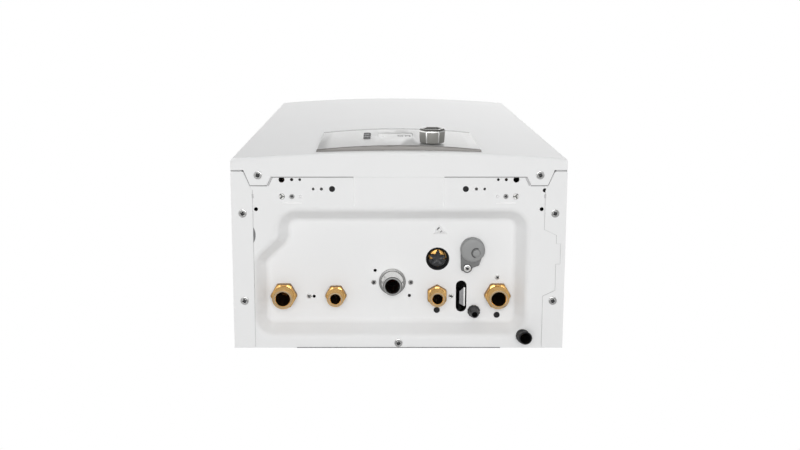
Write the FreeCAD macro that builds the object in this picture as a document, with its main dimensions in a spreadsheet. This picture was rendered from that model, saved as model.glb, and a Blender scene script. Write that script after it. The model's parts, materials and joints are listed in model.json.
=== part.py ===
import FreeCAD, Part
import math
import os
import re

import Sketcher
from FreeCAD import Placement, Rotation, Vector

# Wall-hung combination gas boiler.
# X runs to the right seen from the front, Y towards the wall, Z up. Y = 0 is the wall plane.
# Heights in the table and in the calls count from the bottom rim of the casing. The origin of the
# part is on the wall plane, midway between the two hanging holes, so place() lowers every piece
# by hang_height.

SIZES = [
    # Casing
    ("case_width", 400, "over the side panels"),
    ("case_height", 700, "bottom rim to top panel"),
    ("side_depth", 219, "wall to the front edge of a side panel"),
    ("sheet", 1, "casing sheet"),
    ("panel_gap", 0.8, "open joint between the front cover and the side panels"),
    ("panel_fit", 0.3, "clearance between panels that slide together"),
    ("cover_skirt", 13.6, "front cover, depth of its sides"),
    ("cover_crown", 8.3, "front cover, rise of the middle over its sides"),
    ("cover_edge_radius", 4, "front cover, rounding of the front edges"),
    ("flange_lap", 7, "cover's bottom flange behind the front edge of the side panels"),
    ("lug_length", 10.3, "cover lug, beyond the bottom flange"),
    ("lug_inner_inset", 47.5, "cover lug, inner root from the casing's side"),
    ("lug_inner_tip_inset", 42.6, "cover lug, inner corner from the casing's side"),
    ("lug_outer_tip_inset", 23, "cover lug, outer corner from the casing's side"),
    ("lug_outer_inset", 15.5, "cover lug, outer root from the casing's side"),
    ("flange_width", 25.5, "bottom flange of a side panel"),
    ("stiffener", 12, "folded edges of the panels"),
    ("notch_inset", 71, "right flange cut-out, front end from the panel's front edge"),
    ("notch_rear", 65.4, "right flange cut-out, rear end"),
    ("notch_lead", 7, "right flange cut-out, length of its slanted ends"),
    ("notch_edge", 10.8, "right flange cut-out, flange left beside it"),
    ("slot_edge", 5.6, "right flange cut-out, flange left at its deepest"),
    ("slot_lead", 17.5, "right flange cut-out, start of the deep part behind its front end"),
    ("slot_run", 25.3, "right flange cut-out, length of the deep part"),
    ("rear_flange_inset", 76, "rear panel bottom flange from the casing's sides"),
    ("rear_flange_depth", 9.2, "rear panel bottom flange"),
    # Hanging and frame
    ("hang_drop", 28, "hanging holes below the top"),
    ("hang_inset", 50, "hanging holes from the casing's sides"),
    ("hang_hole_radius", 6, "hanging holes"),
    ("hang_rail_inset", 36, "hanging rail from the casing's sides"),
    ("hang_rail_height", 34, "hanging rail"),
    ("hang_rail_sheet", 3, "hanging rail"),
    ("rail_inset", 32, "frame rails, inner face from the casing's sides"),
    ("rail_width", 22, "frame rails"),
    ("rail_depth", 65, "frame rails"),
    ("rail_sheet", 1.5, "frame rails"),
    ("rail_low", 30, "frame rails, lower end"),
    ("rail_drop", 10, "frame rails, upper end below the top"),
    # Bottom plate
    ("recess_depth", 18, "rim to the underside of the recess floor"),
    ("recess_front_inset", 62, "recess floor, behind the front edge of the side panels"),
    ("recess_rear", 29, "recess floor, rear edge from the wall"),
    ("recess_right_inset", 59, "recess floor, right edge from the casing's side"),
    ("recess_left_inset", 40, "recess floor, left edge from the casing's side"),
    ("recess_jog", 28, "recess floor, step of the left edge at the front"),
    ("jog_inset", 25, "recess floor, slanted edge behind the front edge"),
    ("jog_run", 26, "recess floor, run of the slanted edge"),
    ("recess_corner", 9, "recess floor corners"),
    ("recess_draft", 14, "run of the sloping recess wall"),
    ("press_radius", 8, "bends of the pressed recess"),
    ("strip_half", 53.5, "raised middle of the front strip, half length"),
    ("strip_inset", 8, "raised middle of the front strip behind the panel edge"),
    ("strip_depth", 35, "raised middle of the front strip, depth"),
    ("strip_rise", 0.7, "raised middle of the front strip"),
    ("row_one_inset", 10.7, "first row of strip holes behind the panel edge"),
    ("row_two_pitch", 11.3, "second row of strip holes behind the first"),
    ("row_three_pitch", 9, "row of pegs and box screws behind the second row"),
    ("row_one_inset_x", 60.5, "first row, large hole from the casing's side"),
    ("row_one_step", 12, "first row, large hole to small hole"),
    ("row_one_end", 9.5, "first row, small hole to smallest hole"),
    ("row_two_offset", 16, "second row, inside the end of the first"),
    ("row_two_end", 9.8, "second row, smallest hole to small hole"),
    ("row_two_step", 12.6, "second row, small hole to large hole"),
    ("large_hole_radius", 3.6, "large strip holes"),
    ("small_hole_radius", 1.9, "small strip holes"),
    ("pin_hole_radius", 1.65, "smallest strip holes"),
    ("corner_hole_inset", 29.5, "corner holes from the casing's sides"),
    ("corner_hole_depth", 46.4, "corner holes behind the panel edge"),
    ("corner_hole_radius", 2.4, "corner holes"),
    ("edge_hole_inset", 26.5, "hole beside the right flange, from the casing's side"),
    ("edge_hole_depth", 23.6, "hole beside the right flange, behind the panel edge"),
    ("knockout_inset", 9.4, "left cable opening from the casing's side"),
    ("knockout_depth", 78, "left cable opening behind the panel edge"),
    ("knockout_radius", 19, "left cable opening"),
    ("slot_share", 0.63636, "long slot, share of the way to the return"),
    ("slot_y", 60.5, "long slot from the wall"),
    ("slot_width", 13.1, "long slot"),
    ("slot_length", 39.6, "long slot"),
    ("tap_hole_radius", 14.3, "opening below the filling tap"),
    # Screws
    ("screw_radius", 2, "screw shanks"),
    ("screw_clearance", 0.3, "screw holes over the shanks"),
    ("screw_length", 9, "screw shanks below the head"),
    ("collar_radius", 5, "casing screws, washer collar"),
    ("collar_height", 1, "washer collar"),
    ("head_radius", 3.7, "casing screws, head"),
    ("head_height", 2, "casing screws, head"),
    ("head_draw", 0.8, "screw heads, end radius to seat radius"),
    ("small_head_radius", 2.8, "recess screws, head"),
    ("cover_screw_inset", 32.5, "cover lug screws from the casing's sides"),
    ("cover_screw_edge", 12.1, "cover lug screws from the lug's end"),
    ("side_screw_inset", 13.5, "side flange screws from the casing's sides"),
    ("side_screw_depth", 51.4, "front side flange screws behind the panel edge"),
    ("side_screw_rear", 59.8, "rear side flange screws from the wall"),
    ("rear_screw_y", 6.2, "rear screw from the wall"),
    # Connections
    ("fitting_row", 62.5, "water connections from the wall"),
    ("flow_inset", 60, "heating flow from the casing's left side"),
    ("hot_share", 0.54643, "hot water, share of the way to the flow"),
    ("gas_x", 7.5, "gas, left of the middle"),
    ("cold_setback", 25.4, "cold water, setback from that share"),
    ("cold_share", 0.6, "cold water, share of the way to the return, less its setback"),
    ("return_inset", 79, "heating return from the casing's right side"),
    ("gas_y", 79.6, "gas from the wall"),
    ("large_thread_radius", 13.2, "three-quarter inch pipe thread"),
    ("large_bore_radius", 8.6, "heating connections"),
    ("large_flats", 28.5, "heating connections, hexagon"),
    ("large_spigot_radius", 11.5, "heating connections, inside spigot"),
    ("small_thread_radius", 10.5, "half inch pipe thread"),
    ("small_bore_radius", 6.1, "water connections"),
    ("small_flats", 23, "water connections, hexagon"),
    ("small_spigot_radius", 9, "water connections, inside spigot"),
    ("thread_length", 15, "threads below the hexagon"),
    ("thread_chamfer", 1.3, "thread ends"),
    ("hexagon_height", 8, "connection hexagons"),
    ("spigot_rise", 26, "spigots above the recess floor"),
    ("fitting_clearance", 0.4, "holes over the spigots"),
    ("gas_collar_radius", 16.3, "gas connection, collar"),
    ("gas_collar_height", 5, "gas connection, straight part of the collar"),
    ("gas_shoulder", 6, "gas connection, sloping shoulder"),
    ("gas_tube_radius", 11.4, "gas connection, tube"),
    ("gas_bore_radius", 8.7, "gas connection, bore"),
    ("gas_tube_length", 21, "gas connection, tube below the collar"),
    ("gas_screw_reach", 22.6, "gas flange screws from its axis"),
    ("gas_screw_y", 78, "gas flange screws from the wall"),
    # Recess screws and small holes
    ("left_screw_share", 0.78143, "screw between flow and hot water, share of the way to the flow"),
    ("left_screw_y", 60.4, "screw between flow and hot water, from the wall"),
    ("left_hole_share", 0.73857, "hole beside that screw, share of the way to the flow"),
    ("middle_screw_share", 0.53388, "screw beside cold water, share of the way to the return"),
    ("right_screw_y", 84.4, "screw in front of the return, from the wall"),
    ("gas_hole_front", 93.1, "front gas locating hole from the wall"),
    ("gas_hole_rear", 61.3, "rear gas locating hole from the wall"),
    ("gas_hole_reach", 21, "gas locating holes from its axis"),
    ("locating_radius", 2, "locating holes"),
    ("plug_radius", 3.2, "rubber plugs, shank"),
    ("plug_rim", 1, "rubber plugs, rim over the shank"),
    ("plug_height", 1.6, "rubber plugs, head"),
    ("cold_plug_y", 43, "plug behind cold water, from the wall"),
    ("return_plug_y", 36.8, "plug behind the return, from the wall"),
    # Filling tap
    ("tap_offset", 0.5, "filling tap beside the cold water axis"),
    ("tap_pitch", 45, "filling tap in front of the water connections"),
    ("tap_body_radius", 12, "filling tap body"),
    ("tap_body_height", 34, "filling tap body"),
    ("tap_neck_radius", 7, "filling tap neck"),
    ("tap_neck_rise", 20, "filling tap neck above the body's end"),
    ("star_hub_radius", 7.6, "tap knob, hub"),
    ("star_lobes", 5, "tap knob, number of lobes"),
    ("star_lobe_radius", 3.1, "tap knob, lobes"),
    ("star_height", 14, "tap knob"),
    ("star_lift", 2, "tap knob above the recess floor"),
    ("tap_stem_radius", 3, "tap knob stem"),
    ("tap_stem_length", 20, "tap knob stem"),
    ("running_fit", 0.08, "turning stems in their bores"),
    ("end_play", 0.3, "turning pieces beside their seats"),
    # Service cap and drain
    ("cap_share", 0.7438, "service cap, round part, share of the way to the return"),
    ("cap_inset", 37, "service cap, round part behind the recess front"),
    ("cap_radius", 14.8, "service cap, round part"),
    ("cap_height", 10, "service cap"),
    ("cap_edge_radius", 2.3, "service cap, rounding of the round part"),
    ("cap_boss_offset", 2.6, "service cap, boss beside the round part's axis"),
    ("cap_boss_radius", 4.5, "service cap, boss"),
    ("cap_boss_height", 3, "service cap, boss"),
    ("cap_foot_height", 7, "service cap, screw foot"),
    ("cap_screw_offset", 6.5, "service cap screw beside the round part's axis"),
    ("cap_screw_run", 23, "service cap screw behind the round part's axis"),
    ("cap_foot_reach", 4.8, "service cap, foot beyond its screw"),
    ("cap_slope", 15, "service cap, sloped side beyond the screw"),
    ("drain_share", 0.76529, "drain, share of the way to the return"),
    ("drain_y", 42, "drain from the wall"),
    ("drain_collar_radius", 7.8, "drain nozzle, collar"),
    ("drain_collar_height", 4.5, "drain nozzle, collar"),
    ("drain_root_radius", 6.6, "drain nozzle, wide end"),
    ("drain_tip_radius", 4.6, "drain nozzle, tip"),
    ("drain_nozzle_length", 12, "drain nozzle below the collar"),
    ("drain_bore_radius", 3, "drain nozzle, bore"),
    ("drain_stem_radius", 5.4, "drain nozzle, stem"),
    ("drain_stem_length", 14, "drain nozzle, stem above the collar"),
    ("drain_flange_radius", 9.6, "drain valve body, flange"),
    ("drain_flange_height", 3, "drain valve body, flange"),
    ("drain_body_radius", 8.2, "drain valve body"),
    ("drain_body_height", 28, "drain valve body"),
    # Relief outlet
    ("relief_inset", 48.5, "relief tube from the casing's right side"),
    ("relief_y", 15, "relief tube from the wall"),
    ("relief_tube_radius", 8, "relief tube"),
    ("relief_bore_radius", 6.3, "relief tube"),
    ("relief_drop", 22, "relief tube below the rim"),
    ("relief_top", 62, "relief tube, upper end"),
    ("relief_valve_radius", 11.5, "relief valve"),
    ("relief_valve_height", 40, "relief valve"),
    ("relief_neck_radius", 6, "relief valve neck"),
    ("relief_neck_rise", 27, "relief valve neck above the tube"),
    # Slot bracket
    ("bracket_lap", 1.5, "slot bracket, free edge beside the slot's axis"),
    ("bracket_reach", 9, "slot bracket, web beside the slot's axis"),
    ("bracket_front", 70, "slot bracket from the wall"),
    ("bracket_rear", 54.5, "slot bracket from the wall"),
    ("bracket_rise", 9, "slot bracket above the floor"),
    ("bracket_sheet", 1.5, "slot bracket"),
    # Controls
    ("fascia_inset", 101.5, "fascia from the casing's sides"),
    ("fascia_low", 14, "fascia, lower edge"),
    ("fascia_high", 186, "fascia, upper edge"),
    ("fascia_proud", 6, "fascia, rise over the cover in the middle"),
    ("fascia_crown", 5.2, "fascia, rise of its middle over its ends"),
    ("fascia_edge_radius", 1.4, "fascia, rounding of its front edges"),
    ("fascia_wall", 2.6, "fascia, side walls"),
    ("fascia_face", 4, "fascia, front wall at the ends"),
    ("opening_gap", 0.8, "cover opening around the fascia"),
    ("box_lead", 17, "control box in front of the side panels"),
    ("box_clearance", 12, "control box in front of the pump motor"),
    ("box_inset", 1.5, "control box inside the fascia's ends"),
    ("box_low", 18, "control box, underside"),
    ("box_high", 182, "control box, top"),
    ("box_wall", 2.5, "control box walls"),
    ("foot_inset", 88, "control box feet, inner face from the casing's sides"),
    ("foot_length", 38, "control box feet, length"),
    ("foot_lead", 12, "control box feet in front of the pegs"),
    ("foot_heel", 12, "control box feet behind the pegs"),
    ("foot_sheet", 6, "control box, arms above the feet"),
    ("board_inset", 16, "control board, rear face behind the box's front edge"),
    ("board_sheet", 1.6, "control board"),
    ("board_margin", 3, "control board, gap to the box walls"),
    ("post_radius", 4, "control board posts"),
    ("post_inset", 10, "control board posts from the box walls"),
    ("peg_radius", 3.3, "split pegs"),
    ("peg_length", 12, "split pegs"),
    ("peg_arms", 3, "arms of the split pegs"),
    ("peg_slit", 1, "slits of the split pegs"),
    ("peg_fit", 0.3, "split pegs in their holes"),
    ("knob_x", 40.7, "knob from the middle"),
    ("knob_level", 38, "knob axis"),
    ("knob_radius", 16, "knob over its corners"),
    ("knob_height", 17.5, "knob"),
    ("knob_sides", 6, "facets of the knob, one facing down"),
    ("knob_tip_inset", 1, "knob, taper of the facets to the front"),
    ("knob_stem_radius", 3, "knob stem"),
    ("stem_clearance", 0.4, "fascia hole around the knob stem"),
    ("encoder_half", 8, "rotary encoder, half width"),
    ("encoder_depth", 6, "rotary encoder"),
    ("window_left", 25, "display window, left edge from the middle"),
    ("window_right", 19, "display window, right edge from the middle"),
    ("window_low", 97, "display window, lower edge"),
    ("window_high", 134, "display window, upper edge"),
    ("window_sheet", 2, "display window"),
    ("window_sink", 0.5, "display window below the fascia's crown"),
    ("key_x", 39, "keys, left of the middle"),
    ("key_level", 86, "lowest key"),
    ("key_pitch", 20, "between the keys"),
    ("key_radius", 4.5, "keys"),
    ("key_proud", 1.2, "keys over the fascia's crown"),
    ("key_travel", 0.8, "keys, stroke"),
    ("key_fit", 0.3, "keys in their holes"),
    # Combustion
    ("chamber_inset", 50, "combustion chamber from the casing's sides"),
    ("chamber_gap", 23, "combustion chamber behind the front edge of the side panels"),
    ("chamber_share", 0.5, "combustion chamber, lower edge, share of the height"),
    ("chamber_drop", 140, "combustion chamber, upper edge below the top"),
    ("chamber_wall", 1.5, "combustion chamber"),
    ("ear_inset", 12, "combustion chamber ears from the casing's sides"),
    ("inner_fit", 0.3, "pieces that slide into the chamber"),
    ("burner_height", 20, "burner frame"),
    ("burner_wall", 2, "burner frame"),
    ("bar_count", 14, "burner bars"),
    ("bar_width", 12, "burner bars"),
    ("bar_height", 34, "burner bars"),
    ("bar_margin", 6, "burner bars from the frame's ends"),
    ("manifold_inset", 20, "gas manifold inside the chamber's sides"),
    ("manifold_depth", 20, "gas manifold"),
    ("manifold_height", 15, "gas manifold"),
    ("electrode_x", 60, "ignition electrode from the middle"),
    ("electrode_rise", 52, "ignition electrode above the chamber's lower edge"),
    ("electrode_radius", 4, "ignition electrode"),
    ("electrode_flange", 9, "ignition electrode, flange radius"),
    ("electrode_sheet", 3, "ignition electrode, flange"),
    ("electrode_inside", 24, "ignition electrode inside the chamber"),
    ("electrode_outside", 12, "ignition electrode in front of the chamber"),
    ("exchanger_drop", 30, "main exchanger, tube axis below the chamber's upper edge"),
    ("exchanger_half_height", 25, "main exchanger, fins"),
    ("fin_count", 33, "main exchanger fins"),
    ("fin_sheet", 1.2, "main exchanger fins"),
    ("tube_radius", 8, "main exchanger tubes"),
    ("tube_pitch", 38, "between the exchanger tubes"),
    ("stub_length", 12, "main exchanger, tube stubs beyond the chamber"),
    ("hood_height", 42, "flue hood"),
    ("hood_half", 60, "flue hood, half width at the top"),
    ("hood_rim", 2, "flue hood, sheet"),
    ("fan_radius", 46, "fan housing"),
    ("fan_rear", 105, "fan housing, rear face from the wall"),
    ("fan_width", 46, "fan housing"),
    ("fan_wall", 3, "fan housing"),
    ("fan_foot_half", 35, "fan housing foot, half width"),
    ("fan_eye_radius", 19, "fan inlet"),
    ("fan_outlet_radius", 29, "fan outlet"),
    ("fan_outlet_wall", 2, "fan outlet"),
    ("fan_outlet_low", 36, "fan outlet above the fan's axis"),
    ("impeller_radius", 38, "fan impeller"),
    ("impeller_margin", 4, "fan impeller from the housing walls"),
    ("impeller_disc", 3, "fan impeller, disc"),
    ("impeller_blades", 16, "fan impeller, blades"),
    ("blade_sheet", 1.5, "impeller blades"),
    ("blade_length", 12, "impeller blades"),
    ("blade_inset", 2.4, "impeller blades from the edge of the disc"),
    ("shaft_radius", 4, "fan and pump shafts"),
    ("shaft_reach", 24, "shafts inside their motors"),
    ("hub_radius", 9, "impeller hubs"),
    ("shaft_hole_radius", 7, "housing holes around the shafts"),
    ("fan_motor_radius", 29, "fan motor"),
    ("fan_motor_length", 40, "fan motor"),
    ("flue_radius", 50, "flue collar"),
    ("flue_rise", 35, "flue collar above the top panel"),
    ("flue_wall", 2, "flue collar"),
    ("flue_flange_radius", 62, "flue collar, flange"),
    ("flue_flange_sheet", 3, "flue collar, flange"),
    ("flue_fit", 0.5, "flue spigot around the fan outlet"),
    ("flue_overlap", 8, "fan outlet inside the flue spigot"),
    ("air_holes", 6, "flue collar, number of air holes"),
    ("air_hole_radius", 5, "flue collar, air holes"),
    ("air_hole_circle", 40, "flue collar, air holes from the axis"),
    ("top_hole_radius", 54, "opening in the top panel"),
    ("collar_screw_circle", 58, "flue collar screws from the axis"),
    # Gas train
    ("gas_pipe_radius", 11, "gas pipes"),
    ("pipe_wall", 1.2, "copper pipes"),
    ("supply_radius", 9, "pipe from the gas valve to the manifold"),
    ("gas_bend", 24, "gas pipe, bend radius"),
    ("gas_bend_low", 74, "gas pipe, lower corner"),
    ("gas_bend_high", 112, "gas pipe, upper corner"),
    ("gas_riser_y", 135, "gas pipe riser from the wall"),
    ("valve_share", 0.51429, "gas valve, underside, share of the way to the chamber"),
    ("valve_height", 70, "gas valve"),
    ("valve_half", 37, "gas valve, half width"),
    ("valve_depth", 56, "gas valve"),
    ("coil_radius", 13, "gas valve coils"),
    ("coil_height", 30, "gas valve coils"),
    # Hydraulics
    ("hydro_low", 110, "plate exchanger, underside"),
    ("plate_height", 60, "plate exchanger"),
    ("plate_left_lap", 18.5, "plate exchanger, left end beyond the hot water axis"),
    ("plate_right_gap", 56, "plate exchanger, right end inside the return axis"),
    ("plate_front", 85, "plate exchanger, front from the wall"),
    ("plate_rear", 40, "plate exchanger, rear from the wall"),
    ("plate_end", 4, "plate exchanger, end plates"),
    ("plate_step", 2, "plate exchanger, edge of the pack"),
    ("hot_pipe_radius", 9, "hot water pipe"),
    ("block_half", 12, "cold water block, half width"),
    ("diverter_half", 21, "diverter body, half width"),
    ("diverter_top", 152, "diverter body, top"),
    ("diverter_neck_radius", 10, "diverter neck"),
    ("diverter_neck_level", 138, "diverter neck"),
    ("spindle_level", 92, "diverter spindle"),
    ("spindle_radius", 4, "diverter spindle"),
    ("spindle_head_radius", 7, "diverter spindle, valve head"),
    ("spindle_head_length", 8, "diverter spindle, valve head"),
    ("spindle_stroke", 6, "diverter spindle, stroke"),
    ("spindle_tail", 20, "diverter spindle inside the actuator"),
    ("seat_radius", 9, "diverter body, spindle chamber"),
    ("actuator_radius", 18, "diverter actuator"),
    ("actuator_length", 46, "diverter actuator"),
    ("pump_level", 110, "pump axis"),
    ("pump_radius", 44, "pump body"),
    ("pump_rear", 50, "pump body, rear face from the wall"),
    ("pump_width", 42, "pump body"),
    ("pump_wall", 5, "pump body"),
    ("pump_neck_radius", 13, "pump inlet neck"),
    ("pump_outlet_x", 12, "pump outlet, right of the pump's axis"),
    ("pump_outlet_y", 74, "pump outlet from the wall"),
    ("pump_outlet_top", 166, "pump outlet, upper end"),
    ("bridge_radius", 9, "pump neck to the plate exchanger"),
    ("bridge_level", 132, "pump neck to the plate exchanger"),
    ("rotor_radius", 30, "pump impeller"),
    ("rotor_blades", 6, "pump impeller, blades"),
    ("rotor_margin", 4, "pump impeller from the body walls"),
    ("pump_motor_radius", 40, "pump motor"),
    ("pump_motor_length", 68, "pump motor"),
    ("riser_radius", 9, "heating pipes"),
    ("riser_bend", 28, "heating pipes, bend radius"),
    ("riser_end_bend", 13, "heating pipes, last bend radius"),
    ("riser_inset", 22, "heating pipes beside the chamber, from the casing's sides"),
    ("riser_low", 250, "heating pipes, lower corner"),
    ("riser_high", 312, "heating pipes, upper corner"),
    ("vessel_gap", 10, "expansion vessel below the hanging rail"),
    ("vessel_inset", 45, "expansion vessel from the casing's sides"),
    ("vessel_depth", 44, "expansion vessel"),
    ("vessel_wall", 1.5, "expansion vessel"),
    ("port_radius", 5, "expansion vessel, water port"),
    ("vessel_edge", 16, "expansion vessel, rounding"),
    ("seam_radius", 2.5, "expansion vessel, seam"),
]
# Sizes that follow from others
DERIVED = [
    ("lug_inner", "case_width / 2 - lug_inner_inset", "cover lug, inner root"),
    ("lug_inner_tip", "case_width / 2 - lug_inner_tip_inset", "cover lug, inner corner"),
    ("lug_outer_tip", "case_width / 2 - lug_outer_tip_inset", "cover lug, outer corner"),
    ("lug_outer", "case_width / 2 - lug_outer_inset", "cover lug, outer root"),
    ("cover_flange", "side_depth - flange_lap", "wall to the free edge of the cover's bottom flange"),
    ("lug_reach", "cover_flange - lug_length", "wall to the end of a cover lug"),
    ("notch_front", "side_depth - notch_inset", "right flange cut-out, front end"),
    ("slot_front", "notch_front - slot_lead", "right flange cut-out, front of the deep part"),
    ("slot_rear", "slot_front - slot_run", "right flange cut-out, rear of the deep part"),
    ("rear_flange_half", "case_width / 2 - rear_flange_inset", "rear panel bottom flange, half length"),
    ("hang_height", "case_height - hang_drop", "hanging holes above the bottom rim"),
    ("hang_spacing", "case_width - 2 * hang_inset", "between the two hanging holes"),
    ("hang_rail_half", "case_width / 2 - hang_rail_inset", "hanging rail, half length"),
    ("rail_inner", "case_width / 2 - rail_inset", "frame rails, inner face from the middle"),
    ("rail_high", "case_height - rail_drop", "frame rails, upper end"),
    ("recess_front", "side_depth - recess_front_inset", "recess floor, front edge from the wall"),
    ("recess_right", "case_width / 2 - recess_right_inset", "recess floor, right edge from the middle"),
    ("recess_left", "case_width / 2 - recess_left_inset", "recess floor, left edge from the middle"),
    ("recess_left_front", "recess_left - recess_jog", "recess floor, left edge of the narrow front part"),
    ("jog_front", "recess_front - jog_inset", "recess floor, front end of the slanted edge"),
    ("jog_rear", "jog_front - jog_run", "recess floor, rear end of the slanted edge"),
    ("strip_front", "side_depth - strip_inset", "raised middle of the front strip, front edge"),
    ("strip_rear", "strip_front - strip_depth", "raised middle of the front strip, rear edge"),
    ("row_one", "side_depth - row_one_inset", "first row of strip holes from the wall"),
    ("row_two", "row_one - row_two_pitch", "second row of strip holes from the wall"),
    ("row_three", "row_two - row_three_pitch", "row of pegs and box screws from the wall"),
    ("row_one_outer", "case_width / 2 - row_one_inset_x", "first row, large hole from the middle"),
    ("row_one_middle", "row_one_outer - row_one_step", "first row, small hole from the middle"),
    ("row_one_inner", "row_one_middle - row_one_end", "first row, smallest hole from the middle"),
    ("row_two_outer", "row_one_inner - row_two_offset", "second row, smallest hole from the middle"),
    ("row_two_middle", "row_two_outer - row_two_end", "second row, small hole from the middle"),
    ("row_two_inner", "row_two_middle - row_two_step", "second row, large hole from the middle"),
    ("corner_hole_x", "case_width / 2 - corner_hole_inset", "corner holes from the middle"),
    ("corner_hole_y", "side_depth - corner_hole_depth", "corner holes from the wall"),
    ("knockout_x", "case_width / 2 - knockout_inset", "left cable opening from the middle"),
    ("knockout_y", "side_depth - knockout_depth", "left cable opening from the wall"),
    ("cover_screw_x", "case_width / 2 - cover_screw_inset", "cover lug screws from the middle"),
    ("cover_screw_y", "lug_reach + cover_screw_edge", "cover lug screws from the wall"),
    ("side_screw_x", "case_width / 2 - side_screw_inset", "side flange screws from the middle"),
    ("side_screw_front", "side_depth - side_screw_depth", "front side flange screws from the wall"),
    ("flow_x", "case_width / 2 - flow_inset", "heating flow, left of the middle"),
    ("hot_x", "flow_x * hot_share", "hot water, left of the middle"),
    ("return_x", "case_width / 2 - return_inset", "heating return, right of the middle"),
    ("slot_x", "return_x * slot_share", "long slot from the middle"),
    ("cold_x", "return_x * cold_share - cold_setback", "cold water, right of the middle"),
    ("left_screw_x", "flow_x * left_screw_share", "screw between flow and hot water"),
    ("left_hole_x", "flow_x * left_hole_share", "hole beside that screw"),
    ("middle_screw_x", "return_x * middle_screw_share", "screw beside cold water"),
    ("tap_x", "cold_x + tap_offset", "filling tap from the middle"),
    ("tap_y", "fitting_row + tap_pitch", "filling tap from the wall"),
    ("cap_x", "return_x * cap_share", "service cap, round part from the middle"),
    ("cap_y", "recess_front - cap_inset", "service cap, round part from the wall"),
    ("cap_boss_x", "cap_x + cap_boss_offset", "service cap, boss from the middle"),
    ("cap_screw_x", "cap_x - cap_screw_offset", "service cap screw from the middle"),
    ("cap_screw_y", "cap_y - cap_screw_run", "service cap screw from the wall"),
    ("drain_x", "return_x * drain_share", "drain from the middle"),
    ("relief_x", "case_width / 2 - relief_inset", "relief tube from the middle"),
    ("bracket_left", "slot_x - bracket_lap", "slot bracket, free edge from the middle"),
    ("bracket_right", "slot_x + bracket_reach", "slot bracket, web from the middle"),
    ("fascia_half", "case_width / 2 - fascia_inset", "fascia, half width"),
    ("box_front", "side_depth + box_lead", "control box front edge from the wall"),
    ("box_rear", "pump_rear + pump_width + pump_motor_length + box_clearance",
     "control box rear face from the wall"),
    ("box_half", "fascia_half - box_inset", "control box, half width"),
    ("foot_inner", "case_width / 2 - foot_inset", "control box feet, inner face from the middle"),
    ("foot_outer", "foot_inner + foot_length", "control box feet, outer face from the middle"),
    ("foot_front", "row_three + foot_lead", "control box feet from the wall"),
    ("foot_rear", "row_three - foot_heel", "control box feet from the wall"),
    ("board_rear", "box_front - board_inset", "control board, rear face from the wall"),
    ("chamber_half", "case_width / 2 - chamber_inset", "combustion chamber, half width"),
    ("chamber_depth", "side_depth - chamber_gap - rail_depth - sheet", "combustion chamber"),
    ("chamber_low", "case_height * chamber_share", "combustion chamber, lower edge"),
    ("valve_low", "chamber_low * valve_share", "gas valve, underside"),
    ("chamber_high", "case_height - chamber_drop", "combustion chamber, upper edge"),
    ("ear_half", "case_width / 2 - ear_inset", "combustion chamber ears from the middle"),
    ("manifold_half", "chamber_half - manifold_inset", "gas manifold, half length"),
    ("exchanger_level", "chamber_high - exchanger_drop", "main exchanger, tube axis"),
    ("stub_reach", "chamber_half + stub_length", "main exchanger, end of the tube stubs"),
    ("plate_left", "hot_x + plate_left_lap", "plate exchanger, left end from the middle"),
    ("plate_right", "return_x - plate_right_gap", "plate exchanger, right end from the middle"),
    ("riser_x", "case_width / 2 - riser_inset", "heating pipes beside the chamber, from the middle"),
    ("riser_y", "rail_depth + chamber_depth / 2", "heating pipes beside the chamber, from the wall"),
    ("vessel_radius", "case_width / 2 - vessel_inset", "expansion vessel"),
    ("vessel_level", "hang_height - hang_rail_height / 2 - vessel_radius - vessel_gap",
     "expansion vessel, axis"),
]
NAMES = {alias for alias, value, meaning in SIZES + DERIVED}
TOUCH = 1e-6

doc = FreeCAD.newDocument("gas_boiler")
sheet = doc.addObject("Spreadsheet::Sheet", "Sizes")
for row, (alias, value, meaning) in enumerate(SIZES + DERIVED, start=1):
    sheet.set(f"A{row}", alias)
    sheet.set(f"B{row}", f"={value}")
    sheet.set(f"C{row}", meaning)
    sheet.setAlias(f"B{row}", alias)
doc.recompute()


# Expressions and placing

def bound(text):
    """The expression with every size name pointed at its cell."""
    def cell(word):
        return f"Sizes.{word[0]}" if word[0] in NAMES else word[0]

    return re.sub(r"[A-Za-z_]\w*", cell, str(text))


def size(text):
    """The present value of an expression of sizes."""
    return float(sheet.evalExpression(bound(text)))


def point(x, y, z):
    return Vector(size(x), size(y), size(z))


def minus(text):
    return f"-({text})"


def both(text):
    """The span from minus to plus a size."""
    return (minus(text), text)


AXIS_TURN = {
    "x": Rotation(Vector(0, 1, 0), 90),
    "y": Rotation(Vector(1, 0, 0), -90),
    "z": Rotation(),
}


def place(item, at, turn=Rotation()):
    item.Placement = Placement(Vector(), turn)
    for axis, text in zip("xyz", at):
        height = " - hang_height" if axis == "z" else ""
        item.setExpression(f"Placement.Base.{axis}", bound(f"({text}){height}"))
    return item


def set_sizes(item, **sizes):
    for name, text in sizes.items():
        item.setExpression(name, bound(text))
    return item


# Primitives: a span is a pair of expressions, low end first

def box(label, x, y, z):
    item = doc.addObject("Part::Box", label)
    length, width, height = (f"({high}) - ({low})" for low, high in (x, y, z))
    set_sizes(item, Length=length, Width=width, Height=height)
    return place(item, (x[0], y[0], z[0]))


def axis_start(axis, centre, low):
    first, second = centre
    return {"x": (low, first, second), "y": (first, low, second), "z": (first, second, low)}[axis]


def rod(label, radius, axis, centre, span):
    """Cylinder along an axis; the centre gives the other two coordinates in order."""
    item = doc.addObject("Part::Cylinder", label)
    set_sizes(item, Radius=radius, Height=f"({span[1]}) - ({span[0]})")
    return place(item, axis_start(axis, centre, span[0]), AXIS_TURN[axis])


def taper(label, low_radius, high_radius, axis, centre, span):
    item = doc.addObject("Part::Cone", label)
    set_sizes(item, Radius1=low_radius, Radius2=high_radius, Height=f"({span[1]}) - ({span[0]})")
    return place(item, axis_start(axis, centre, span[0]), AXIS_TURN[axis])


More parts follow.
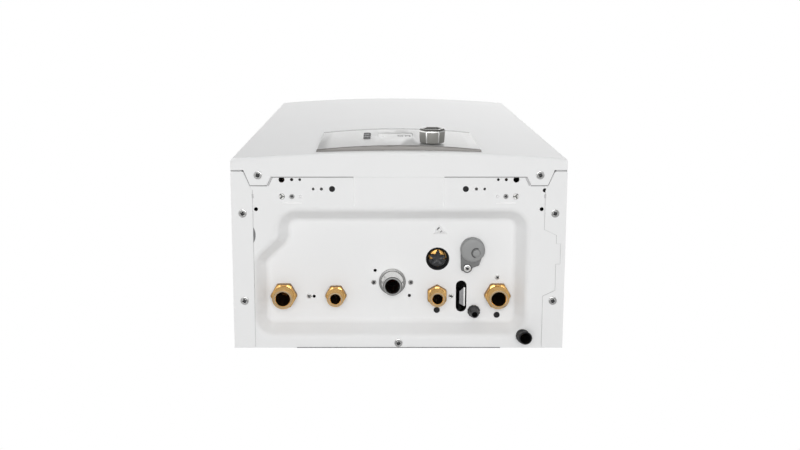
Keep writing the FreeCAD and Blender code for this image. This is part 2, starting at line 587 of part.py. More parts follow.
def hexagon(label, flats, centre, span, turn=0):
    item = doc.addObject("Part::Prism", label)
    item.Polygon = 6
    set_sizes(item, Circumradius=f"({flats}) / 2 / cos(30deg)", Height=f"({span[1]}) - ({span[0]})")
    return place(item, (*centre, span[0]), Rotation(Vector(0, 0, 1), turn))


def outline(label, points, level):
    """Closed polygon sketch on a level, each corner bound to the sheet."""
    sketch = doc.addObject("Sketcher::SketchObject", label)
    corners = [point(x, y, "0") for x, y in points]
    for start, end in zip(corners, corners[1:] + corners[:1]):
        sketch.addGeometry(Part.LineSegment(start, end))
    for side in range(len(corners)):
        sketch.addConstraint(Sketcher.Constraint("Coincident", side, 2, (side + 1) % len(corners), 1))
    for side, (x, y) in enumerate(points):
        for kind, text in (("DistanceX", x), ("DistanceY", y)):
            index = sketch.addConstraint(Sketcher.Constraint(kind, -1, 1, side, 1, size(text)))
            sketch.setExpression(f"Constraints[{index}]", bound(text))
    return place(sketch, ("0", "0", level))


def prism(label, points, span):
    item = doc.addObject("Part::Extrusion", label)
    item.Base = outline(f"{label}_outline", points, span[0])
    item.DirMode = "Custom"
    item.Dir = Vector(0, 0, 1)
    item.Solid = True
    return set_sizes(item, LengthFwd=f"({span[1]}) - ({span[0]})")


# Combinations

def join(label, *items):
    item = doc.addObject("Part::MultiFuse", label)
    item.Shapes = items
    item.Refine = True
    return item


def cut(label, base, *tools):
    item = doc.addObject("Part::Cut", label)
    item.Base = base
    item.Tool = tools[0] if len(tools) == 1 else join(f"{label}_cuts", *tools)
    item.Refine = True
    return item


def common(label, first, second):
    item = doc.addObject("Part::Common", label)
    item.Base = first
    item.Tool = second
    return item


def group(label, items):
    item = doc.addObject("Part::Compound", label)
    item.Links = items
    return item


def rounded(label, base, radius, wanted):
    """Fillet of the edges for which wanted(edge) is true."""
    doc.recompute()
    item = doc.addObject("Part::Fillet", label)
    item.Base = base
    value = size(radius)
    item.Edges = [(i, value, value) for i, edge in enumerate(base.Shape.Edges, start=1) if wanted(edge)]
    return item


def ring(label, outer, inner, axis, centre, span):
    return cut(label, rod(f"{label}_outer", outer, axis, centre, span),
               rod(f"{label}_bore", inner, axis, centre, span))


def solid(label, shape):
    item = doc.addObject("Part::Feature", label)
    item.Shape = shape
    return place(item, ("0", "0", "0"))


def rounded_path(points, radii):
    """Wire through the points, with an arc of the given radius at each inner corner."""
    edges = []
    last = points[0]
    for before, corner, after, radius in zip(points, points[1:], points[2:], radii):
        inward = (before - corner).normalize()
        outward = (after - corner).normalize()
        half = inward.getAngle(outward) / 2
        middle = (inward + outward).normalize()
        start = corner + inward * (radius / math.tan(half))
        end = corner + outward * (radius / math.tan(half))
        top = corner + middle * (radius / math.sin(half) - radius)
        edges.append(Part.makeLine(last, start))
        edges.append(Part.Arc(start, top, end).toShape())
        last = end
    edges.append(Part.makeLine(last, points[-1]))
    return Part.Wire(edges)


def bent_pipe(label, points, radii, radius):
    """Tube swept along a rounded path that starts upwards."""
    spine = solid(f"{label}_spine", rounded_path([point(*corner) for corner in points], radii))
    runs = []
    for name, text in (("outer", radius), ("bore", f"{radius} - pipe_wall")):
        profile = doc.addObject("Part::Circle", f"{label}_{name}_profile")
        place(set_sizes(profile, Radius=text), points[0])
        sweep = doc.addObject("Part::Sweep", f"{label}_{name}")
        sweep.Sections = [profile]
        sweep.Spine = (spine, [f"Edge{i + 1}" for i in range(len(spine.Shape.Edges))])
        sweep.Solid = True
        sweep.Frenet = True
        runs.append(sweep)
    return cut(label, *runs)


# Levels and faces that several pieces share

HALF = "(case_width / 2)"
INSIDE = "(case_width / 2 - sheet)"
WALL_SIDE = "-sheet"
RIM = "sheet"
RIM_TOP = "(2 * sheet)"
FLOOR = "recess_depth"
FLOOR_TOP = "(recess_depth + sheet)"
COVER_BACK = "-(side_depth + panel_gap)"
COVER_SIDE = "(side_depth + panel_gap + cover_skirt)"
COVER_FRONT = f"({COVER_SIDE} + cover_crown)"
FASCIA_FRONT = f"({COVER_FRONT} + fascia_proud)"
SPIGOT_TOP = f"({FLOOR_TOP} + spigot_rise)"
CHAMBER_REAR = "(sheet + rail_depth)"
CHAMBER_FRONT = f"({CHAMBER_REAR} + chamber_depth)"
FAN_LEVEL = "(chamber_high + hood_height + fan_radius)"
FAN_FRONT = "(fan_rear + fan_width)"
FLUE_Y = "-(fan_rear + fan_width / 2)"
PUMP_FRONT = "(pump_rear + pump_width)"
ROW = "-fitting_row"
HOLE_RADIUS = "(screw_radius + screw_clearance)"
SIDES = (("left", "-1 *"), ("right", "1 *"))


def across(side, low, high):
    """Span on one side of the middle, given for the right side."""
    return (low, high) if side == "right" else (minus(high), minus(low))



COVER_SCREWS = [(f"{sign} cover_screw_x", "-cover_screw_y") for side, sign in SIDES]
SIDE_SCREWS = {
    side: [(f"{sign} side_screw_x", "-side_screw_front"), (f"{sign} side_screw_x", "-side_screw_rear")]
    for side, sign in SIDES
}
REAR_SCREW = ("0", "-rear_screw_y")
RECESS_SCREWS = [
    ("-left_screw_x", "-left_screw_y"),
    ("-gas_x - gas_screw_reach", "-gas_screw_y"),
    ("-gas_x + gas_screw_reach", "-gas_screw_y"),
    ("middle_screw_x", "-left_screw_y"),
    ("return_x", "-right_screw_y"),
]
CAP_SCREW = ("cap_screw_x", "-cap_screw_y")
BOX_SCREWS = [(f"{sign} row_one_middle", "-row_three") for side, sign in SIDES]
PEGS = [(f"{sign} row_one_outer", "-row_three") for side, sign in SIDES]
PLUGS = [("cold_x", "-cold_plug_y"), ("return_x", "-return_plug_y")]


def holes(label, centres, radius, span):
    return [rod(f"{label}_{i}", radius, "z", centre, span) for i, centre in enumerate(centres, start=1)]


# Casing

def rear_panel():
    plate = box("rear_plate", both(f"{INSIDE} - panel_fit"), (WALL_SIDE, "0"), (RIM, "case_height"))
    flange = box("rear_flange", both("rear_flange_half"), ("-(sheet + rear_flange_depth)", WALL_SIDE),
                 (RIM_TOP, "3 * sheet"))
    hanging = [
        rod(f"rear_hanging_hole_{side}", "hang_hole_radius", "y",
            (f"{sign} hang_spacing / 2", "hang_height"), ("-2 * sheet", "sheet"))
        for side, sign in SIDES
    ]
    screw_hole = rod("rear_screw_hole", HOLE_RADIUS, "z", REAR_SCREW, ("sheet", "4 * sheet"))
    return cut("rear_panel", join("rear_panel_body", plate, flange), *hanging, screw_hole)


def side_panel(side, sign):
    wall = box(f"{side}_wall", across(side, INSIDE, HALF), ("-side_depth", "-panel_fit"),
               ("0", "case_height"))
    edge = f"({HALF} - flange_width)"
    front_lead = "-(lug_reach - panel_gap)"
    corners = [
        (INSIDE, "-(side_depth - panel_gap)"),
        ("lug_outer + panel_gap", "-(side_depth - panel_gap)"),
        ("lug_outer_tip + panel_gap", front_lead),
        (edge, "-(lug_reach - stiffener / 2)"),
    ]
    if side == "right":
        deep = f"({HALF} - slot_edge)"
        shallow = f"({HALF} - notch_edge)"
        corners += [
            (edge, "-notch_front"),
            (shallow, "-(notch_front - notch_lead)"),
            (shallow, "-slot_front"),
            (deep, "-slot_front"),
            (deep, "-slot_rear"),
            (shallow, "-slot_rear"),
            (shallow, "-(notch_rear + notch_lead)"),
            (edge, "-notch_rear"),
        ]
    corners += [(edge, "-(sheet + panel_fit)"), (INSIDE, "-(sheet + panel_fit)")]
    bottom = prism(f"{side}_bottom_flange", [(f"{sign} ({x})", y) for x, y in corners], ("0", "sheet"))
    front = box(f"{side}_front_fold", across(side, f"{INSIDE} - stiffener", INSIDE),
                ("-side_depth", "-side_depth + sheet"), ("3 * sheet", "case_height - 2 * sheet"))
    top = box(f"{side}_top_fold", across(side, f"{INSIDE} - stiffener", INSIDE),
              ("-side_depth", "-2 * sheet"), ("case_height - 2 * sheet", "case_height - sheet"))
    body = join(f"{side}_panel_body", wall, bottom, front, top)
    screw_holes = holes(f"{side}_panel_hole", SIDE_SCREWS[side], HOLE_RADIUS, ("-sheet", "2 * sheet"))
    return cut(f"{side}_side_panel", body, *screw_holes)


def top_panel():
    plate = box("top_plate", both(f"{INSIDE} - panel_fit"), ("-side_depth + sheet", WALL_SIDE),
                ("case_height - sheet", "case_height"))
    opening = rod("top_opening", "top_hole_radius", "z", ("0", FLUE_Y),
                  ("case_height - 2 * sheet", "case_height + sheet"))
    screw_holes = holes("top_screw_hole", collar_screw_places(), HOLE_RADIUS,
                        ("case_height - 2 * sheet", "case_height + sheet"))
    return cut("top_panel", plate, opening, *screw_holes)


def offset_corners(corners, distance):
    """The polygon with every side moved outwards; corners run counter-clockwise."""
    moved = []
    count = len(corners)
    for i, corner in enumerate(corners):
        arriving = (corner - corners[i - 1]).normalize()
        leaving = (corners[(i + 1) % count] - corner).normalize()
        first = Vector(arriving.y, -arriving.x, 0)
        second = Vector(leaving.y, -leaving.x, 0)
        middle = first + second
        moved.append(corner + middle * (2 * distance / middle.dot(middle)))
    return moved


def rounded_outline(corners, radius, spread, level):
    """Closed wire on a level; the spread widens its outward corners and narrows its inward ones."""
    edges = []
    count = len(corners)
    ends = []
    for i, corner in enumerate(corners):
        back = (corners[i - 1] - corner).normalize()
        ahead = (corners[(i + 1) % count] - corner).normalize()
        half = back.getAngle(ahead) / 2
        outward = ahead.cross(back).z > 0
        bend = radius + spread if outward else radius + size("recess_draft") - spread
        start = corner + back * (bend / math.tan(half))
        end = corner + ahead * (bend / math.tan(half))
        top = corner + (back + ahead).normalize() * (bend / math.sin(half) - bend)
        ends.append((start, top, end))
    lift = Vector(0, 0, level)
    for i, (start, top, end) in enumerate(ends):
        edges.append(Part.makeLine(ends[i - 1][2] + lift, start + lift))
        edges.append(Part.Arc(start + lift, top + lift, end + lift).toShape())
    return Part.Wire(edges)


def pressed_side(corners, thickness):
    """Block up to the underside of the pressed sheet, or to its top with the thickness added."""
    draft = size("recess_draft")
    corner_radius = size("recess_corner")
    bend = size("press_radius")
    low = size(RIM) + thickness
    high = size(FLOOR) + thickness
    half = size(f"{INSIDE} - panel_fit")
    front = size("side_depth - 2 * sheet")
    block_depth = size("recess_depth")
    slab_corner = Vector(-half, -front, -block_depth)
    slab = Part.makeBox(2 * half, front - size("sheet"), low + block_depth, slab_corner)
    spread = draft + thickness
    rim = rounded_outline(offset_corners(corners, spread), corner_radius, spread, low)
    floor = rounded_outline(offset_corners(corners, thickness), corner_radius, thickness, high)
    block = slab.fuse(Part.makeLoft([rim, floor], True, True)).removeSplitter()
    outside = slab.BoundBox

    def recess_edges(level):
        """Edges on a level that keep clear of the block's outside."""
        found = []
        for edge in block.Edges:
            reach = edge.BoundBox
            flat = abs(reach.ZMin - level) < TOUCH and reach.ZLength < TOUCH
            clear_x = reach.XMin > outside.XMin + TOUCH and reach.XMax < outside.XMax - TOUCH
            clear_y = reach.YMin > outside.YMin + TOUCH and reach.YMax < outside.YMax - TOUCH
            if flat and clear_x and clear_y:
                found.append(edge)
        return found

    block = block.makeFillet(bend + thickness, recess_edges(high))
    return block.makeFillet(bend + size("sheet") - thickness, recess_edges(low))


def bottom_plate():
    places = [
        ("-recess_left_front", "-recess_front"),
        ("recess_right", "-recess_front"),
        ("recess_right", "-recess_rear"),
        ("-recess_left", "-recess_rear"),
        ("-recess_left", "-jog_rear"),
        ("-recess_left_front", "-jog_front"),
    ]
    corners = [point(x, y, "0") for x, y in places]
    pressing = pressed_side(corners, size("sheet")).cut(pressed_side(corners, 0))
    tray = solid("bottom_pressing", pressing)
    strip = box("bottom_strip", both("strip_half"), ("-strip_front", "-strip_rear"),
                ("sheet - strip_rise", RIM))
    span = ("-sheet", "recess_depth + 2 * sheet")
    fitting_holes = [
        ("flow", "-flow_x", ROW, "large_spigot_radius"),
        ("hot", "-hot_x", ROW, "small_spigot_radius"),
        ("gas", "-gas_x", "-gas_y", "gas_pipe_radius"),
        ("cold", "cold_x", ROW, "small_spigot_radius"),
        ("return", "return_x", ROW, "large_spigot_radius"),
        ("drain", "drain_x", "-drain_y", "drain_stem_radius"),
        ("relief", "relief_x", "-relief_y", "relief_tube_radius"),
    ]
    tools = [rod(f"bottom_{name}_hole", f"{radius} + fitting_clearance", "z", (x, y), span)
             for name, x, y, radius in fitting_holes]
    tools.append(rod("bottom_tap_hole", "tap_hole_radius", "z", ("tap_x", "-tap_y"), span))
    slot_reach = "(slot_length - slot_width) / 2"
    tools.append(box("bottom_slot", ("slot_x - slot_width / 2", "slot_x + slot_width / 2"),
                     (f"-slot_y - {slot_reach}", f"-slot_y + {slot_reach}"), span))
    slot_ends = [("slot_x", f"-slot_y - {slot_reach}"), ("slot_x", f"-slot_y + {slot_reach}")]
    tools += holes("bottom_slot_end", slot_ends, "slot_width / 2", span)
    tools.append(rod("bottom_knockout", "knockout_radius", "z", ("-knockout_x", "-knockout_y"), span))
    tools.append(rod("bottom_edge_hole", "corner_hole_radius", "z",
                     (f"{HALF} - edge_hole_inset", "-(side_depth - edge_hole_depth)"), span))
    screws = COVER_SCREWS + SIDE_SCREWS["left"] + SIDE_SCREWS["right"] + RECESS_SCREWS + BOX_SCREWS
    screws += [REAR_SCREW, CAP_SCREW]
    tools += holes("bottom_screw_hole", screws, HOLE_RADIUS, span)
    tools += holes("bottom_peg_hole", PEGS, "peg_radius + peg_fit", span)
    tools += holes("bottom_plug_hole", PLUGS, "plug_radius + peg_fit", span)
    for side, sign in SIDES:
        for row, name, radius in (
            ("row_one", "row_one_outer", "large_hole_radius"),
            ("row_one", "row_one_middle", "small_hole_radius"),
            ("row_one", "row_one_inner", "pin_hole_radius"),
            ("row_two", "row_two_outer", "pin_hole_radius"),
            ("row_two", "row_two_middle", "small_hole_radius"),
            ("row_two", "row_two_inner", "large_hole_radius"),
        ):
            tools.append(rod(f"bottom_{side}_{name}", radius, "z", (f"{sign} {name}", f"-{row}"), span))
        tools.append(rod(f"bottom_{side}_corner_hole", "corner_hole_radius", "z",
                         (f"{sign} corner_hole_x", "-corner_hole_y"), span))
    tools += holes("bottom_locating_hole", [
        ("-left_hole_x", "-left_screw_y"),
        ("-gas_x - gas_hole_reach", "-gas_hole_front"),
        ("-gas_x + gas_hole_reach", "-gas_hole_rear"),
    ], "locating_radius", span)
    return cut("bottom_plate", join("bottom_sheet", tray, strip), *tools)


def crowned_block(label, half, rear, front, crown, z, edge_radius):
    """Block whose front is one wide arc over its width, with rounded front edges."""
    block = box(f"{label}_block", both(half), (minus(front), minus(rear)), z)
    arc = f"((({half}) * ({half}) + ({crown}) * ({crown})) / (2 * ({crown})))"
    curve = rod(f"{label}_curve", arc, "z", ("0", f"{arc} - ({front})"), z)
    shape = common(f"{label}_shape", block, curve)
    doc.recompute()
    faces = [face for face in shape.Shape.Faces if face.Surface.TypeId == "Part::GeomCylinder"]
    front_edges = [edge.hashCode() for face in faces for edge in face.Edges]
    return rounded(label, shape, edge_radius, lambda edge: edge.hashCode() in front_edges)


def front_cover():
    outer = crowned_block("cover_outside", HALF, "side_depth + panel_gap", COVER_FRONT, "cover_crown",
                          ("0", "case_height"), "cover_edge_radius")
    inner = crowned_block("cover_inside", INSIDE, "side_depth", f"{COVER_FRONT} - sheet", "cover_crown",
                          ("sheet", "case_height - sheet"), "cover_edge_radius - sheet")
    shell = cut("cover_shell", outer, inner)
    left = [
        (f"-{INSIDE}", f"-({COVER_SIDE} - cover_edge_radius)"),
        (f"-{INSIDE}", COVER_BACK),
        ("-lug_outer", COVER_BACK),
        ("-lug_outer_tip", "-lug_reach"),
        ("-lug_inner_tip", "-lug_reach"),
        ("-lug_inner", "-cover_flange"),
    ]
    right = [(f"-1 * ({x})", y) for x, y in reversed(left)]
    flange = prism("cover_flange_sheet", left + right, ("0", "sheet"))
    opening = box("cover_opening", both("fascia_half + opening_gap"),
                  (f"-{COVER_FRONT} - sheet", COVER_BACK),
                  ("fascia_low - opening_gap", "fascia_high + opening_gap"))
    screw_holes = holes("cover_screw_hole", COVER_SCREWS, HOLE_RADIUS, ("-sheet", "2 * sheet"))
    return cut("front_cover", join("cover_body", shell, flange), opening, *screw_holes)


def hanging_rail():
    strip = box("hanging_strip", both("hang_rail_half"), ("-(sheet + hang_rail_sheet)", WALL_SIDE),
                ("hang_height - hang_rail_height / 2", "hang_height + hang_rail_height / 2"))
    drilled = [
        rod(f"hanging_strip_hole_{side}", "hang_hole_radius", "y",
            (f"{sign} hang_spacing / 2", "hang_height"), ("-2 * sheet - hang_rail_sheet", "0"))
        for side, sign in SIDES
    ]
    return cut("hanging_rail", strip, *drilled)


def frame_rail(side):
    outer = box(f"{side}_rail_block", across(side, "rail_inner", "rail_inner + rail_width"),
                (minus(CHAMBER_REAR), WALL_SIDE), ("rail_low", "rail_high"))
    hollow = box(f"{side}_rail_hollow", across(side, "rail_inner + rail_sheet", "rail_inner + rail_width"),
                 (f"-{CHAMBER_REAR} + rail_sheet", "-sheet - rail_sheet"),
                 ("rail_low - sheet", "rail_high + sheet"))
    return cut(f"{side}_frame_rail", outer, hollow)


# Screws, pegs and plugs

def screw(label, centre, seat, head_radius, collar=True):
    """Screw driven upwards: its head hangs below the seat level."""
    head_low = f"({seat}) - collar_height - head_height"
    pieces = [
        rod(f"{label}_shank", "screw_radius", "z", centre, (seat, f"({seat}) + screw_length")),
        taper(f"{label}_head", f"head_draw * {head_radius}", head_radius, "z", centre, (head_low, seat)),
    ]
    if collar:
        collar_span = (f"({seat}) - collar_height", seat)
        pieces.append(rod(f"{label}_collar", "collar_radius", "z", centre, collar_span))
    return join(label, *pieces)


def casing_screws():
    places = COVER_SCREWS + SIDE_SCREWS["left"] + SIDE_SCREWS["right"]
    screws = [screw(f"casing_screw_{i}", centre, "0", "head_radius") for i, centre in enumerate(places, 1)]
    screws.append(screw("casing_screw_rear", REAR_SCREW, RIM, "head_radius"))
    return group("casing_screws", screws)


def small_screws():
    """Plain screws in the recess floor, below the control box feet and in the service cap."""
    screws = [screw(f"recess_screw_{i}", centre, FLOOR, "small_head_radius", collar=False)
              for i, centre in enumerate(RECESS_SCREWS, 1)]
    screws += [screw(f"box_screw_{i}", centre, RIM, "small_head_radius", collar=False)
               for i, centre in enumerate(BOX_SCREWS, 1)]
    foot_level = "recess_depth - cap_foot_height"
    screws.append(screw("service_cap_screw", CAP_SCREW, foot_level, "head_radius", collar=False))
    return group("small_screws", screws)


def collar_screw_places():
    reach = "collar_screw_circle * cos(45deg)"
    return [(f"{x} {reach}", f"{FLUE_Y} + {y} {reach}") for x in ("1 *", "-1 *") for y in ("1 *", "-1 *")]


def collar_screws():
    seat = "case_height + flue_flange_sheet"
    screws = []
    for i, centre in enumerate(collar_screw_places(), 1):
        shank = rod(f"collar_screw_{i}_shank", "screw_radius", "z", centre, (f"{seat} - screw_length", seat))
        head = taper(f"collar_screw_{i}_head", "small_head_radius", "head_draw * small_head_radius", "z",
                     centre, (seat, f"{seat} + head_height"))
        screws.append(join(f"collar_screw_{i}", shank, head))
    return group("collar_screws", screws)


def split_pegs():
    """Pegs slit from below into springing arms around a short bore."""
    arms = int(size("peg_arms"))
    slit_top = "peg_length / 2"
    pegs = []
    for i, (x, y) in enumerate(PEGS, 1):
        body = rod(f"peg_{i}_body", "peg_radius", "z", (x, y), ("0", "peg_length"))
        cuts = [rod(f"peg_{i}_bore", "peg_slit", "z", (x, y), ("-sheet", slit_top))]
        for arm in range(arms):
            turn = 90 + 360 * arm / arms
            slit = doc.addObject("Part::Box", f"peg_{i}_slit_{arm + 1}")
            set_sizes(slit, Length="2 * peg_radius", Width="peg_slit", Height=f"{slit_top} + sheet")
            corner_x = f"{x} + peg_slit / 2 * sin({turn}deg)"
            corner_y = f"{y} - peg_slit / 2 * cos({turn}deg)"
            cuts.append(place(slit, (corner_x, corner_y, "-sheet"), Rotation(Vector(0, 0, 1), turn)))
        pegs.append(cut(f"peg_{i}", body, *cuts))
    return group("split_pegs", pegs)


def hole_plugs():
    plugs = []
    for i, centre in enumerate(PLUGS, 1):
        shank = rod(f"plug_{i}_shank", "plug_radius", "z", centre, (FLOOR, f"{FLOOR_TOP} + plug_height"))
        head = taper(f"plug_{i}_head", "plug_radius", "plug_radius + plug_rim", "z", centre,
                     (f"{FLOOR} - plug_height", FLOOR))
        plugs.append(join(f"plug_{i}", shank, head))
    return group("hole_plugs", plugs)


# Connections below the recess floor

def nipple(label, centre, thread, flats, bore, spigot, turn=0):
    hexagon_low = "recess_depth - hexagon_height"
    thread_end = f"({hexagon_low} - thread_length)"
    body = join(
        f"{label}_body",
        taper(f"{label}_tip", f"{thread} - thread_chamfer", thread, "z", centre,
              (thread_end, f"{thread_end} + thread_chamfer")),
        rod(f"{label}_thread", thread, "z", centre, (f"{thread_end} + thread_chamfer", hexagon_low)),
        hexagon(f"{label}_hexagon", flats, centre, (hexagon_low, FLOOR), turn),
        rod(f"{label}_spigot", spigot, "z", centre, (FLOOR, SPIGOT_TOP)),
    )
    through = (f"{thread_end} - sheet", f"{SPIGOT_TOP} + sheet")
    return cut(label, body, rod(f"{label}_bore", bore, "z", centre, through))


def water_connections():
    large = ("large_thread_radius", "large_flats", "large_bore_radius", "large_spigot_radius")
    small = ("small_thread_radius", "small_flats", "small_bore_radius", "small_spigot_radius")
    return [
        nipple("heating_flow_connection", ("-flow_x", ROW), *large),
        nipple("hot_water_connection", ("-hot_x", ROW), *small),
        nipple("cold_water_connection", ("cold_x", ROW), *small, turn=30),
        nipple("heating_return_connection", ("return_x", ROW), *large),
    ]


def gas_connection():
    centre = ("-gas_x", "-gas_y")
    collar_low = "recess_depth - gas_collar_height"
    shoulder_low = f"({collar_low} - gas_shoulder)"
    end = f"({collar_low} - gas_tube_length)"
    body = join(
        "gas_connection_body",
        rod("gas_connection_tube", "gas_tube_radius", "z", centre, (end, collar_low)),
        taper("gas_connection_shoulder", "gas_tube_radius", "gas_collar_radius", "z", centre,
              (shoulder_low, collar_low)),
        rod("gas_connection_collar", "gas_collar_radius", "z", centre, (collar_low, FLOOR)),
        rod("gas_connection_spigot", "gas_pipe_radius", "z", centre, (FLOOR, SPIGOT_TOP)),
    )
    through = (f"{end} - sheet", f"{SPIGOT_TOP} + sheet")
    return cut("gas_connection", body, rod("gas_connection_bore", "gas_bore_radius", "z", centre, through))


TAP_CENTRE = ("tap_x", "-tap_y")
STAR_LOW = f"({FLOOR_TOP} + star_lift)"
TAP_LOW = f"({STAR_LOW} + star_height + end_play)"


def filling_tap_body():
    body = rod("tap_body", "tap_body_radius", "z", TAP_CENTRE, (TAP_LOW, f"{TAP_LOW} + tap_body_height"))
    neck = rod("tap_neck", "tap_neck_radius", "y", ("tap_x", f"{TAP_LOW} + tap_neck_rise"),
               ("-tap_y", "-(fitting_row + block_half)"))
    bore = rod("tap_bore", "tap_stem_radius + running_fit", "z", TAP_CENTRE,
               (f"{TAP_LOW} - sheet", f"{TAP_LOW} + tap_stem_length + end_play"))
    return cut("filling_tap_body", join("filling_tap_brass", body, neck), bore)


def filling_tap_knob():
    span = (STAR_LOW, f"{STAR_LOW} + star_height")
    pieces = [rod("star_hub", "star_hub_radius", "z", TAP_CENTRE, span)]
    lobes = int(size("star_lobes"))
    for lobe in range(lobes):
        turn = 360 * lobe / lobes
        x = f"tap_x + star_hub_radius * sin({turn}deg)"
        y = f"-tap_y + star_hub_radius * cos({turn}deg)"
        pieces.append(rod(f"star_lobe_{lobe + 1}", "star_lobe_radius", "z", (x, y), span))
    pieces.append(rod("star_stem", "tap_stem_radius", "z", TAP_CENTRE,
                      (span[1], f"{TAP_LOW} + tap_stem_length")))
    return join("filling_tap_knob", *pieces)


def service_cap():
    centre = ("cap_x", "-cap_y")
    dome = rod("cap_round", "cap_radius", "z", centre, ("recess_depth - cap_height", FLOOR))
    seat = size("recess_depth - hang_height - sheet")
    dome = rounded("cap_dome", dome, "cap_edge_radius", lambda edge: edge.BoundBox.ZMax < seat)
    boss = rod("cap_boss", "cap_boss_radius", "z", ("cap_boss_x", "-cap_y"),
               ("recess_depth - cap_height - cap_boss_height", FLOOR))
    foot = prism("cap_foot", [
        ("cap_x - cap_radius", "-cap_y"),
        ("cap_x + cap_radius - sheet", "-cap_y + sheet"),
        ("cap_screw_x + cap_slope", "-cap_screw_y"),
        ("cap_screw_x + cap_foot_reach", "-cap_screw_y"),
        ("cap_screw_x + cap_foot_reach", "-cap_screw_y + cap_foot_reach"),
        ("cap_x - cap_radius", "-cap_screw_y + cap_foot_reach"),
    ], ("recess_depth - cap_foot_height", FLOOR))
    hole = rod("cap_screw_hole", HOLE_RADIUS, "z", CAP_SCREW,
               ("recess_depth - cap_height", "recess_depth + sheet"))
    return cut("service_cap", join("service_cap_body", dome, boss, foot), hole)


DRAIN_CENTRE = ("drain_x", "-drain_y")


def drain_nozzle():
    collar_top = "(recess_depth - end_play)"
    collar_low = f"({collar_top} - drain_collar_height)"
    tip = f"({collar_low} - drain_nozzle_length)"
    stem_top = f"({collar_top} + drain_stem_length)"
    body = join(
        "drain_nozzle_body",
        taper("drain_cone", "drain_tip_radius", "drain_root_radius", "z", DRAIN_CENTRE, (tip, collar_low)),
        rod("drain_collar", "drain_collar_radius", "z", DRAIN_CENTRE, (collar_low, collar_top)),
        rod("drain_stem", "drain_stem_radius", "z", DRAIN_CENTRE, (collar_top, stem_top)),
    )
    through = (f"{tip} - sheet", f"{stem_top} + sheet")
    bore = rod("drain_nozzle_bore", "drain_bore_radius", "z", DRAIN_CENTRE, through)
    return cut("drain_nozzle", body, bore)


def drain_valve_body():
    flange = rod("drain_flange", "drain_flange_radius", "z", DRAIN_CENTRE,
                 (FLOOR_TOP, f"{FLOOR_TOP} + drain_flange_height"))
    barrel = rod("drain_barrel", "drain_body_radius", "z", DRAIN_CENTRE,
                 (FLOOR_TOP, f"{FLOOR_TOP} + drain_body_height"))
    bore = rod("drain_barrel_bore", "drain_stem_radius + running_fit", "z", DRAIN_CENTRE,
               (FLOOR, "recess_depth + drain_stem_length + end_play"))
    return cut("drain_valve_body", join("drain_valve_brass", flange, barrel), bore)


def relief_pieces():
    centre = ("relief_x", "-relief_y")
    tube = ring("relief_tube", "relief_tube_radius", "relief_bore_radius", "z", centre,
                ("-relief_drop", "relief_top"))
    neck_level = "relief_top + relief_neck_rise"
    body = join(
        "relief_valve_solid",
        rod("relief_valve_barrel", "relief_valve_radius", "z", centre,
            ("relief_top", "relief_top + relief_valve_height")),
        rod("relief_valve_neck", "relief_neck_radius", "y", ("relief_x", neck_level),
            ("-pump_rear", "-relief_y")),
    )
    valve = cut("relief_valve", body,
                rod("relief_valve_bore", "relief_bore_radius", "z", centre,
                    ("relief_top - sheet", "relief_top + relief_valve_height / 2")))
    return [tube, valve]


def slot_bracket():
    y = ("-bracket_front", "-bracket_rear")
    top = f"{FLOOR_TOP} + bracket_rise"
    flange = box("bracket_flange", ("bracket_left", "bracket_right"), y, (f"{top} - bracket_sheet", top))
    web = box("bracket_web", ("bracket_right - bracket_sheet", "bracket_right"), y, (FLOOR_TOP, top))
    return join("slot_bracket", flange, web)


# Controls

KEYS = [("lower", "0 *"), ("middle", "1 *"), ("upper", "2 *")]


def key_level(count):
    return f"key_level + {count} key_pitch"


def control_fascia():
    block = crowned_block("fascia_block", "fascia_half", "box_front", FASCIA_FRONT, "fascia_crown",
                          ("fascia_low", "fascia_high"), "fascia_edge_radius")
    hollow = box("fascia_hollow", both("fascia_half - fascia_wall"),
                 (f"-({FASCIA_FRONT} - fascia_crown - fascia_face)", "-box_front + sheet"),
                 ("fascia_low + fascia_wall", "fascia_high - fascia_wall"))
    through = (f"-{FASCIA_FRONT} - sheet", "-box_front")
    stem_hole = rod("fascia_stem_hole", "knob_stem_radius + stem_clearance", "y", ("knob_x", "knob_level"),
                    through)
    window = box("fascia_window", ("-window_left - inner_fit", "window_right + inner_fit"),
                 (f"-{FASCIA_FRONT} - sheet", f"-{FASCIA_FRONT} + window_sink + window_sheet"),
                 ("window_low - inner_fit", "window_high + inner_fit"))
    key_holes = [
        rod(f"fascia_{name}_key_hole", "key_radius + key_fit", "y", ("-key_x", key_level(count)), through)
        for name, count in KEYS
    ]
    return cut("control_fascia", block, hollow, stem_hole, window, *key_holes)


def display_window():
    return box("display_window", ("-window_left", "window_right"),
               (f"-{FASCIA_FRONT} + window_sink", f"-{FASCIA_FRONT} + window_sink + window_sheet"),
               ("window_low", "window_high"))


def control_knob():
    seat = f"({FASCIA_FRONT} + end_play)"
    tip = f"({seat} + knob_height)"
    sides = int(size("knob_sides"))
    centre = point("knob_x", "0", "knob_level")

    def facets(radius, y):
        turns = [2 * math.pi * (i + 0.5) / sides - math.pi / 2 for i in range(sides)]
        ring_points = [centre + Vector(radius * math.cos(a), y, radius * math.sin(a)) for a in turns]
        return Part.makePolygon(ring_points + ring_points[:1])

    root = facets(size("knob_radius"), -size(seat))
    front = facets(size("knob_radius - knob_tip_inset"), -size(tip))
    grip = solid("knob_grip", Part.makeLoft([root, front], True, True))
    stem = rod("knob_stem", "knob_stem_radius", "y", ("knob_x", "knob_level"),
               (minus(seat), "-(board_rear + board_sheet + encoder_depth + end_play)"))
    return join("control_knob", grip, stem)


def keys():
    rear = "-(board_rear + board_sheet + key_travel + end_play)"
    return [rod(f"{name}_key", "key_radius", "y", ("-key_x", key_level(count)),
                (f"-({FASCIA_FRONT} + key_proud)", rear)) for name, count in KEYS]


